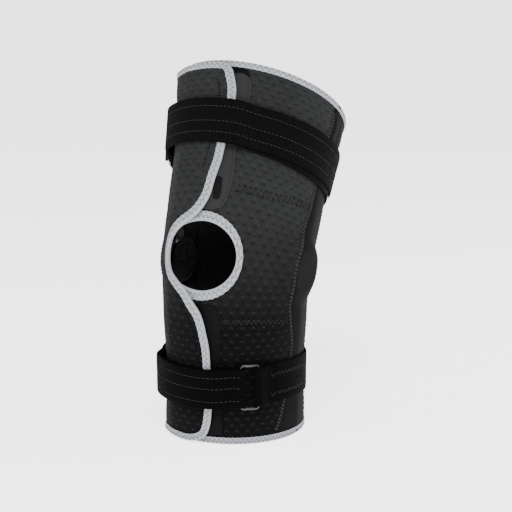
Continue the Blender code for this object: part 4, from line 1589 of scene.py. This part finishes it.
@dataclass
class HookStrips:
    """Fastener strips on the front panel beside the flap, and the plain patch on the upper one."""

    form: LegForm
    maker: Maker
    finishes: Finishes
    weave: float = 0.0009
    strip_width: float = 0.026
    upper: StripShape = StripShape(
        "upper_fastener_strip", (0.0285, 0.0297, 0.0325, 0.0380, 0.0800, 0.1230, 0.1400, 0.1455, 0.1482),
        (-2.0, -4.5, -6.0, -6.0, -2.0, 1.0, 2.5, 6.0, 10.5),
        (4.0, 9.0, 12.8, 14.6, 16.0, 20.0, 19.3, 17.3, 13.4), 0.00135, 0.0011)
    lower: StripShape = StripShape(
        "lower_fastener_strip", (-0.1375, -0.1165, -0.0785, -0.0380, -0.0325, -0.0297, -0.0285),
        (-6.0, -5.0, -5.0, -6.0, -5.0, -2.5, 0.5), (17.8, 17.8, 15.5, 16.4, 15.6, 11.5, 7.0), 0.00135, 0.0011)
    # near-black patch by the flap's top corner: partly a real black patch, partly painted shadow beside the
    # corner
    corner: StripShape = StripShape(
        "corner_patch", (0.1450, 0.1460, 0.1490, 0.1520, 0.1531), (3.0, 2.0, 1.0, 2.0, 4.0),
        (16.0, 17.5, 17.5, 15.5, 13.0), 0.00110, 0.0009)
    patch: StripShape = StripShape(
        "plain_patch", (0.0352, 0.0362, 0.0385, 0.0480, 0.0512, 0.0522), (5.3, 4.5, 4.1, 3.7, 4.0, 5.0),
        (7.6, 8.9, 9.5, 9.3, 8.8, 7.2), 0.00215, 0.00075)

    def strip(self, shape: StripShape, look: bpy.types.Material) -> bpy.types.Object:
        """Thin strip with rounded ends and a rounded rim.

        Its face falls by 0.45 mm over the last millimetre before the rim, as one minus the
        square root of the distance from the rim.

        Args:
            shape: the outline.
            look: its material.

        Returns:
            The object, riding on nothing yet.
        """
        rows = int((shape.s[-1] - shape.s[0]) / self.weave) + 6
        ease = np.sin(np.linspace(-np.pi / 2, np.pi / 2, rows)) * 0.5 + 0.5
        b = 0.25 * ease + 0.75 * np.linspace(0, 1, rows)
        s = (shape.s[0] + (shape.s[-1] - shape.s[0]) * b)[:, None]
        a = np.linspace(0, 1, 26)[None, :]
        left, right = through(s, shape.s, shape.left), through(s, shape.s, shape.right)
        turn = left + (right - left) * a
        s = np.broadcast_to(s, turn.shape)
        in_turn = np.radians(np.minimum(turn - left, right - turn)) * FLAT_RADIUS
        rim = np.minimum(in_turn, np.minimum(s - shape.s[0], shape.s[-1] - s))
        fall = 0.00045 * (1.0 - np.sqrt(np.clip(rim / 0.0011, 0.0, 1.0)))
        sewn = 0.00022 * bell(rim - 0.0022, 0.0005)
        base = self.form.cloth_out(s, turn)
        outer = self.form.place(s, turn, base + shape.out - fall - sewn)
        inner = self.form.place(s, turn, base + shape.out - shape.thick)
        return self.maker.shell(shape.name, outer, inner, np.radians(turn) * FLAT_RADIUS, s, [look])

    def sewing(self, shape: StripShape, look: bpy.types.Material) -> bpy.types.Object:
        """Straight stitches that follow the strip's right side.

        Args:
            shape: the strip's outline.
            look: the thread's material.

        Returns:
            The object, riding on nothing yet.
        """
        s = np.arange(shape.s[0] + 0.0035, shape.s[-1] - 0.003, 0.0024)
        turn = through(s, shape.s, shape.right) - math.degrees(0.0022 / FLAT_RADIUS)
        lift = self.form.cloth_out(s, turn) + shape.out - 0.0001
        places = np.stack((s, turn, lift), 1)
        ends = places[:-1] + 0.72 * np.diff(places, axis=0)
        return self.maker.threads(shape.name + "_stitches", places[:-1], ends, 0.00016, 0.0001, look)

    def build(self) -> None:
        """Makes both strips and the patch."""
        f = self.finishes
        jobs = ((self.upper, f.upper_hook, "hook_tape", "upper_hook_strip"),
                (self.lower, f.shaded_hook, "hook_tape", "lower_hook_strip"),
                (self.patch, f.patch, "label", "label_patch"),
                (self.corner, f.shaded_hook, "hook_tape", ""))
        for shape, look, slot, node in jobs:
            obj = self.strip(shape, look)
            if node:
                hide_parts(node)
            bend(obj, self.form)
            if shape in (self.upper, self.lower):
                sewn = self.sewing(shape, f.hole)
                bend(sewn, self.form)
        LOG.info("fastener strips and patch")


# ------------------------------------------------------------------ straps


@dataclass
class Strap:
    """Webbing strap that folds through a wire ring and fastens back on itself."""

    form: LegForm
    maker: Maker
    finishes: Finishes
    name: str
    centre: float
    drift: float
    rise: float
    half: float
    radius: float
    side: int
    bar: float
    far_bar: float
    start: float
    end: float
    tab_end: float
    anchor_end: float
    lines: tuple
    peek: float
    body: Body
    ring_body: Body
    tab_body: Body
    wire: bpy.types.Material
    anchor_sewn: float
    thick: float = 0.0016
    gap: float = 0.0004
    fold: float = 0.00305
    wire_radius: float = 0.00125
    corner: float = 0.0026
    room: float = 0.0006
    play: float = 0.0007
    clear: float = 0.0007
    hump: float = 0.0060
    step: float = 0.0017

    def under(self, turn: np.ndarray) -> np.ndarray:
        """Lift of the strap's underside, which climbs over the flap in front.

        Args:
            turn: places round the leg.

        Returns:
            The lift.
        """
        turn = (np.asarray(turn, float) + 180.0) % 360.0 - 180.0
        over = smooth((turn + 64.0) / 18.0) * (1.0 - smooth((turn - 13.0) / 16.0))
        return self.clear + self.hump * over

    def middle(self, turn: np.ndarray) -> np.ndarray:
        """The s of the strap's centre line: it drifts outwards at the back and rises at the sides."""
        angle = np.radians(turn)
        return self.centre + self.drift * (1 - np.cos(angle)) + self.rise * np.sin(angle) ** 2

    def across(self, count: int = 27) -> np.ndarray:
        """Places across the strap, closer together at the selvages."""
        return np.sin(np.linspace(-np.pi / 2, np.pi / 2, count)) * 0.35 + np.linspace(-1, 1, count) * 0.65

    def ribbon(self, name: str, line: np.ndarray, bar: float, side: int, shift: np.ndarray,
               half: np.ndarray | None = None) -> bpy.types.Object:
        """Webbing that follows a line of (distance round the leg, height).

        The outer and inner faces lie half a thickness to either side of the line, along
        its normal.  The thickness falls at the selvages as the eighth power of the place
        across, and the sewn lines are sunk in as narrow bell curves.

        Args:
            name: the piece's name.
            line: rows of distance from the bar and height over the underside.
            bar: turn of the ring bar that the distances start from.
            side: direction in which the distances run, 1 or -1.
            shift: how far each point of the line is moved along the leg.
            half: half width at each point of the line, or None for the strap's own.

        Returns:
            The object, riding on nothing yet.
        """
        way = np.gradient(line, axis=0)
        way /= np.linalg.norm(way, axis=1)[:, None]
        normal = np.stack((-way[:, 1], way[:, 0]), 1)
        over = self.across()[:, None]
        half = self.half if half is None else half[None, :]
        full = 0.5 * self.thick * np.sqrt(1.0 - 0.80 * np.abs(over) ** 8)
        groove = sum(0.00020 * bell(over * self.half - at, 0.0007) for at in self.lines)
        run = np.concatenate(((0.0,), np.cumsum(np.linalg.norm(np.diff(line, axis=0), axis=1))))
        pucker = 1.0 + 0.35 * np.cos(2 * np.pi * run / 0.0034)[None, :]
        faces = []
        for sign in (1.0, -1.0):
            off = sign * (full - groove * pucker)
            turn = bar + side * np.degrees((line[None, :, 0] + off * normal[None, :, 0]) / self.radius)
            lift = line[None, :, 1] + off * normal[None, :, 1] + self.under(turn)
            s = self.middle(turn) + over * half + shift[None, :]
            faces.append(self.form.place(s, turn, lift))
        across = np.broadcast_to(over * self.half, faces[0].shape[:2])
        along = np.broadcast_to(run[None, :], across.shape)
        obj = self.maker.shell(name, faces[0], faces[1], across, along, [self.finishes.webbing])
        return obj

    def arc(self, a: np.ndarray | float, b: float) -> np.ndarray | float:
        """Distance round the leg between two turns."""
        return abs(np.radians(a - b)) * self.radius

    def over_fold(self, away: np.ndarray) -> np.ndarray:
        """Height of the upper layer's middle, which falls from the fold over the first 12 mm.

        Args:
            away: distance from the ring's bar.

        Returns:
            The height over the underside.
        """
        low = self.thick / 2
        laid = self.thick * 1.5 + self.gap
        return low + 2 * self.fold + (laid - low - 2 * self.fold) * smooth(away / 0.012)

    def folded(self, reach: float, back: float) -> tuple[np.ndarray, np.ndarray]:
        """Line of webbing that comes in, folds round a bar and lies back on itself.

        Args:
            reach: length of the layer that lies below.
            back: length of the layer that lies on top.

        Returns:
            Rows of (distance, height), and for each how much it belongs to the lower layer.
        """
        low = self.thick / 2
        t = np.linspace(reach, 0.0, max(3, int(reach / self.step)))
        angle = np.radians(np.linspace(-97.0, -263.0, 17))
        drop = np.linspace(0.0, back, max(3, int(back / self.step)))
        height = self.over_fold(drop)
        bent = np.stack((self.fold * np.cos(angle), low + self.fold + self.fold * np.sin(angle)), 1)
        line = np.concatenate((np.stack((t, np.full_like(t, low)), 1), bent, np.stack((drop, height), 1)))
        share = np.concatenate((np.ones_like(t), np.linspace(1, 0, len(angle)), np.zeros_like(drop)))
        return line, share

    def stitched(self, name: str, turns: np.ndarray, offset: float,
                 lift: np.ndarray | float) -> bpy.types.Object:
        """Straight stitches along the strap.

        Args:
            name: the row's name.
            turns: where the stitches' holes lie round the leg.
            offset: distance of the row from the strap's centre line.
            lift: height of the row over the underside.

        Returns:
            The object, riding on nothing yet.
        """
        places = np.stack((self.middle(turns) + offset, turns, self.under(turns) + lift), 1)
        ends = places[:-1] + 0.74 * np.diff(places, axis=0)
        return self.maker.threads(name, places[:-1], ends, 0.00020, 0.00016, self.finishes.strap_thread)

    def turns(self, a: float, b: float, pitch: float = 0.0034) -> np.ndarray:
        """Turns of even stitches between two turns."""
        return np.linspace(a, b, max(3, int(self.arc(a, b) / pitch)))

    def sew(self) -> None:
        """Sews the straight lines of the strap and tab, and the zigzag rows of the anchor."""
        sunk = 0.00006
        top = 2 * self.thick + self.gap - sunk
        side = self.side
        for i, offset in enumerate(self.lines):
            runs = ((f"upper_layer_line_{i}", self.bar + side * 1.5, self.end - side * 1.0, top, self.body),
                    (f"under_layer_line_{i}", self.tab_end + side * 3.0, self.start - side * 1.5,
                     self.thick - sunk, self.body),
                    (f"tab_line_{i}", self.end + side * 1.0, self.tab_end - side * 1.6, top, self.tab_body))
            for name, a, b, lift, body in runs:
                turns = self.turns(a, b)
                if name.startswith("upper"):
                    lift = self.over_fold(self.arc(turns, self.bar)) + self.thick / 2 - sunk
                follow(self.stitched(f"{self.name}_{name}", turns, offset, lift), body)
        for i, offset in enumerate((-0.55 * self.half, 0.45 * self.half)):
            ends = self.far_bar - side * 10.8, self.far_bar - side * self.anchor_sewn
            turns = self.turns(*ends, 0.0021)
            beside = offset + 0.0016 * np.where(np.arange(len(turns)) % 2 == 0, 1.0, -1.0)
            doubled = np.where(self.arc(turns, self.far_bar) < 0.0175, self.thick + self.gap, 0.0)
            lift = self.under(turns) + self.thick + doubled - sunk
            places = np.stack((self.middle(turns) + beside, turns, lift), 1)
            rows = self.maker.threads(f"{self.name}_anchor_zigzag_{i}", places[:-1], places[1:], 0.00024,
                                      0.0002, self.finishes.seam_thread)
            follow(rows, self.body)

    def ring(self) -> bpy.types.Object:
        """Wire ring: a round wire along a rectangle with round corners.

        The rectangle's corner arcs and straight runs are one line in (s, distance round
        the leg); the wire's section is a circle across that line.

        Returns:
            The object, riding on nothing yet.
        """
        corner = self.corner
        up = self.half + self.room + self.wire_radius - corner
        out = self.arc(self.far_bar, self.bar) / 2 + self.play - corner
        angle = np.radians(np.arange(0, 360, 7.5))
        signs = np.sign(np.cos(angle - 1e-6)), np.sign(np.sin(angle + 1e-6))
        line = np.stack((signs[1] * up + corner * np.sin(angle), signs[0] * out + corner * np.cos(angle)), 1)
        ring = np.concatenate((line, line[:1]))
        run = np.concatenate(((0.0,), np.cumsum(np.linalg.norm(np.diff(ring, axis=0), axis=1))))
        even = np.linspace(0.0, run[-1], 145)[:-1]
        line = np.stack([np.interp(even, run, ring[:, k]) for k in (0, 1)], 1)
        way = np.roll(line, -1, axis=0) - np.roll(line, 1, axis=0)
        way /= np.linalg.norm(way, axis=1)[:, None]
        spin = np.radians(np.arange(0, 360, 24.0))[:, None]
        side = self.wire_radius * np.cos(spin)
        middle = (self.bar + self.far_bar) / 2
        s = self.middle(np.array(middle)) + line[None, :, 0] - side * way[None, :, 1]
        turn = middle + np.degrees((line[None, :, 1] + side * way[None, :, 0]) / self.radius)
        rise = self.under(np.array(middle)) + self.thick / 2 + self.fold
        points = self.form.place(s, turn, rise + self.wire_radius * np.sin(spin))
        rows, cols = points.shape[:2]
        number = np.arange(rows * cols).reshape(rows, cols)
        east, north = np.roll(number, -1, axis=1), np.roll(number, -1, axis=0)
        quads = np.stack((number, east, np.roll(east, -1, axis=0), north), -1).reshape(-1, 4)
        uv = np.stack((s, np.radians(turn) * FLAT_RADIUS), -1).reshape(-1, 2)[quads]
        return self.maker.mesh(self.name + "_wire_ring", points.reshape(-1, 3), quads, uv, [self.wire])

    def build(self) -> None:
        """Makes the strap, its tab, its anchor, its ring and the sewing."""
        line, share = self.folded(self.arc(self.start, self.bar), self.arc(self.end, self.bar))
        turn = self.bar + self.side * np.degrees(line[:, 0] / self.radius)
        shift = -self.peek * share * smooth((turn + 12.0) / 100.0) * (1.0 - smooth((turn - 120.0) / 40.0))
        strap = self.ribbon(self.name + "_webbing_strap", line, self.bar, self.side, shift)
        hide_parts(self.name + "_strap")
        follow(strap, self.body)

        line, _ = self.folded(self.arc(self.anchor_end, self.far_bar), 0.018)
        anchor = self.ribbon(self.name + "_anchor_loop", line, self.far_bar, -self.side, np.zeros(len(line)))
        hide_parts(self.name + "_ring_anchor")
        follow(anchor, self.body)

        ends = [self.arc(self.end + self.side * 0.35, self.bar), self.arc(self.tab_end, self.bar)]
        t = np.linspace(*ends, int((ends[1] - ends[0]) / self.step))
        line = np.stack((t, np.full_like(t, self.thick * 1.5 + self.gap)), 1)
        left = np.clip((ends[1] - t) / 0.005, 0.0, 1.0)
        half = self.half - 0.005 * (1.0 - np.sqrt(1.0 - (1.0 - left) ** 2))
        tab = self.ribbon(self.name + "_end_tab", line, self.bar, self.side, np.zeros(len(t)), half)
        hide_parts(self.name + "_strap_tab")
        follow(tab, self.tab_body)

        ring = self.ring()
        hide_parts(self.name + "_ring")
        follow(ring, self.ring_body)
        self.sew()
        LOG.info("%s strap with anchor, tab and ring", self.name)


# ------------------------------------------------------------------ hinges


@dataclass
class Hinges:
    """Inside pieces of the hinges: pads, pocket linings and the finishes of the metal."""

    form: LegForm
    maker: Maker
    finishes: Finishes
    pad_radius: float = 0.0210
    pad_thick: float = 0.0050
    lining_lift: float = -0.0057
    lining_thick: float = 0.0022
    lining_half: float = 13.0

    def pad(self, side: int) -> bpy.types.Object:
        """Condyle pad: a round cushion with a sewn ring and a sewn cross.

        A square grid is drawn onto a disc, x times the root of 1 - y^2 / 2 and the other
        way round.  Each face swells as the root of 1 - r^4 from the rim to the middle.

        Args:
            side: 1 for the right, -1 for the left.

        Returns:
            The object.
        """
        label = "right" if side > 0 else "left"
        low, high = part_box("condyle_pad_" + label)
        middle = (low + high) / 2
        u, v = np.meshgrid(np.linspace(-1, 1, 61), np.linspace(-1, 1, 61))
        y, z = u * np.sqrt(1 - v * v / 2), v * np.sqrt(1 - u * u / 2)
        reach = np.clip(np.hypot(y, z), 0.0, 1.0)
        full = 0.5 * self.pad_thick * np.sqrt(np.clip(1.02 - reach**4, 0.02, 1.0))
        cross = bell(np.minimum(np.abs(y), np.abs(z)) * self.pad_radius, 0.0011) * (reach < 0.72)
        sewn = 0.0010 * np.maximum(bell((reach - 0.72) * self.pad_radius, 0.0010), cross)
        faces = []
        for sign in (1.0, -1.0):
            x = middle[0] + sign * side * (full - sewn)
            faces.append(np.stack((x, middle[1] + self.pad_radius * 0.995 * y,
                                   middle[2] + self.pad_radius * 0.995 * z), -1))
        obj = self.maker.shell("condyle_cushion_" + label, faces[0], faces[1], u * self.pad_radius,
                               v * self.pad_radius, [self.finishes.lining])
        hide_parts("condyle_pad_" + label)
        follow(obj, Body.CALF)
        return obj

    def lining(self, zone: str, side: int, low: float, high: float) -> bpy.types.Object:
        """Inner cover of a bar pocket, quilted across.

        Args:
            zone: thigh or calf.
            side: 1 for the right, -1 for the left.
            low: its lower end along the leg.
            high: its upper end.

        Returns:
            The object.
        """
        label = "right" if side > 0 else "left"
        s, a = np.meshgrid(np.linspace(low, high, 90), np.linspace(-1, 1, 34), indexing="ij")
        turn = 90.0 * side + self.lining_half * a
        width = math.radians(self.lining_half) * FLAT_RADIUS
        rim = np.minimum((1 - np.abs(a)) * width, np.minimum(s - low, high - s))
        thin = 0.0007 * (1.0 - np.sqrt(np.clip(rim / 0.0025, 0.0, 1.0)))
        quilt = 0.0005 * bell(rim - 0.0042, 0.0008) + 0.0004 * bell(((s - low) % 0.0183) - 0.009, 0.0009)
        outer = self.form.place(s, turn, self.lining_lift - thin)
        inner = self.form.place(s, turn, self.lining_lift - self.lining_thick + thin + quilt)
        obj = self.maker.shell(f"{zone}_pocket_lining_{label}", outer, inner, np.radians(turn) * FLAT_RADIUS,
                               s, [self.finishes.lining])
        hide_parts(f"{zone}_lining_{label}")
        follow(obj, Body.THIGH if zone == "thigh" else Body.CALF)
        high - low
        return obj

    def dress(self, node: str, look: bpy.types.Material, slot: str) -> None:
        """Gives a CAD node its finish.

        Args:
            node: the node's name.
            look: its material.
            slot: the record's material slot; not used.
        """
        obj = frame["nodes"][node]
        obj.data.materials.clear()
        obj.data.materials.append(look)

    def build(self) -> None:
        """Makes the pads and linings, and dresses the bars, washers and rivets."""
        for side, label in ((1, "right"), (-1, "left")):
            self.pad(side)
            self.lining("thigh", side, 0.031, 0.141)
            self.lining("calf", side, -0.131, -0.031)
            for half in ("upper", "lower"):
                self.dress(f"{half}_bar_{label}", self.finishes.bar, "bar_aluminium")
            self.dress("hinge_washer_" + label, self.finishes.washer, "washer_plastic")
            self.dress("pivot_rivet_" + label, self.finishes.rivet, "rivet_steel")
        LOG.info("hinges: pads, linings and metal")


# ------------------------------------------------------------------ studio


@dataclass
class Studio:
    """Pale floor, soft light and the camera."""

    hinge: Vector
    azimuth: float = math.radians(27.5)
    elevation: float = math.radians(11.1)
    distance: float = 1.30
    lens: float = 102.7
    right_of_hinge: float = 0.017
    over_hinge: float = 0.0073
    floor_reach: float = 45.0
    sky: float = 0.60

    def camera(self) -> None:
        """Camera that looks a little down on the knee from the front right."""
        a, e = self.azimuth, self.elevation
        back = Vector((math.sin(a) * math.cos(e), -math.cos(a) * math.cos(e), math.sin(e)))
        right = Vector((math.cos(a), math.sin(a), 0.0))
        up = back.cross(right)
        aim = self.hinge + right * self.right_of_hinge + up * self.over_hinge
        data = bpy.data.cameras.new("camera")
        data.sensor_width = 36.0
        data.lens = self.lens
        data.clip_start, data.clip_end = 0.05, 50.0
        camera = bpy.data.objects.new("camera", data)
        camera.matrix_world = Matrix.Translation(aim + back * self.distance) @ \
            Matrix((right, up, back)).transposed().to_4x4()
        bpy.context.scene.collection.objects.link(camera)
        bpy.context.scene.camera = camera

    def lamp(self, name: str, at: tuple, size: float, power: float) -> None:
        """Square soft light that faces the knee.

        Args:
            name: the lamp's name.
            at: its place from the hinge line's middle.
            size: side of the square.
            power: watts.
        """
        data = bpy.data.lights.new(name, 'AREA')
        data.size = size
        data.energy = power
        lamp = bpy.data.objects.new(name, data)
        lamp.location = self.hinge + Vector(at)
        lamp.rotation_euler = (-Vector(at)).to_track_quat("-Z", "Y").to_euler()
        bpy.context.scene.collection.objects.link(lamp)

    def build(self) -> None:
        """Sets the floor, the sky and the lamps."""
        mesh = bpy.data.meshes.new("studio_floor")
        corners = ((-1, -1), (1, -1), (1, 1), (-1, 1))
        mesh.from_pydata([(self.floor_reach * x, self.floor_reach * y, 0.0) for x, y in corners], [],
                         [(0, 1, 2, 3)])
        mesh.materials.append(Floor().build())
        floor = bpy.data.objects.new("studio_floor", mesh)
        bpy.context.scene.collection.objects.link(floor)
        world = bpy.data.worlds.new("studio")
        world.use_nodes = True
        background = world.node_tree.nodes["Background"]
        background.inputs["Color"].default_value = (1.0, 1.0, 1.0, 1.0)
        background.inputs["Strength"].default_value = self.sky
        bpy.context.scene.world = world
        self.lamp("key", (0.45, -1.05, 1.50), 0.9, 52.0)
        self.lamp("fill", (-1.2, -0.9, 0.4), 1.2, 3.6)
        self.lamp("rim", (0.9, 1.0, 0.7), 0.7, 10.0)
        self.camera()


def main() -> None:
    """Builds the brace piece by piece."""
    logging.basicConfig(level=logging.INFO, format="%(name)s: %(message)s")
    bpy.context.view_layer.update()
    knee = next(joint for joint in frame["joints"] if joint["name"] == "knee_flexion")
    hinge = Vector(knee["pos_m"])
    form = LegForm(hinge)
    maker = Maker(form)
    outline = Outline()
    finishes = Finishes()
    Sleeve(form, maker, outline, finishes).build()
    Bindings(form, maker, outline, finishes).build()
    CrossSeams(form, maker, outline, finishes).build()
    HookStrips(form, maker, finishes).build()
    Strap(form, maker, finishes, "upper", centre=0.1002, drift=0.003, rise=0.0, half=0.0195, radius=0.0750,
          side=1, bar=-71.0, far_bar=-85.0, start=240.0, end=95.0, tab_end=125.0, anchor_end=-117.0,
          anchor_sewn=31.0, lines=(0.0117, -0.0016, -0.0117), peek=0.0058, body=Body.THIGH,
          ring_body=Body.UPPER_RING, tab_body=Body.UPPER_TAB, wire=finishes.bright_wire).build()
    Strap(form, maker, finishes, "lower", centre=-0.0950, drift=-0.002, rise=0.0045, half=0.0172,
          radius=0.0655, side=-1, bar=33.5, far_bar=45.5, start=-240.0, end=-95.0, tab_end=-125.0,
          anchor_end=119.0, anchor_sewn=52.0, lines=(0.0100, 0.0003, -0.0110), peek=0.0, body=Body.CALF,
          ring_body=Body.LOWER_RING, tab_body=Body.LOWER_TAB, wire=finishes.shaded_wire).build()
    Hinges(form, maker, finishes).build()
    Studio(hinge).build()
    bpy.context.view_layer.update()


if __name__ == "__main__":
    main()
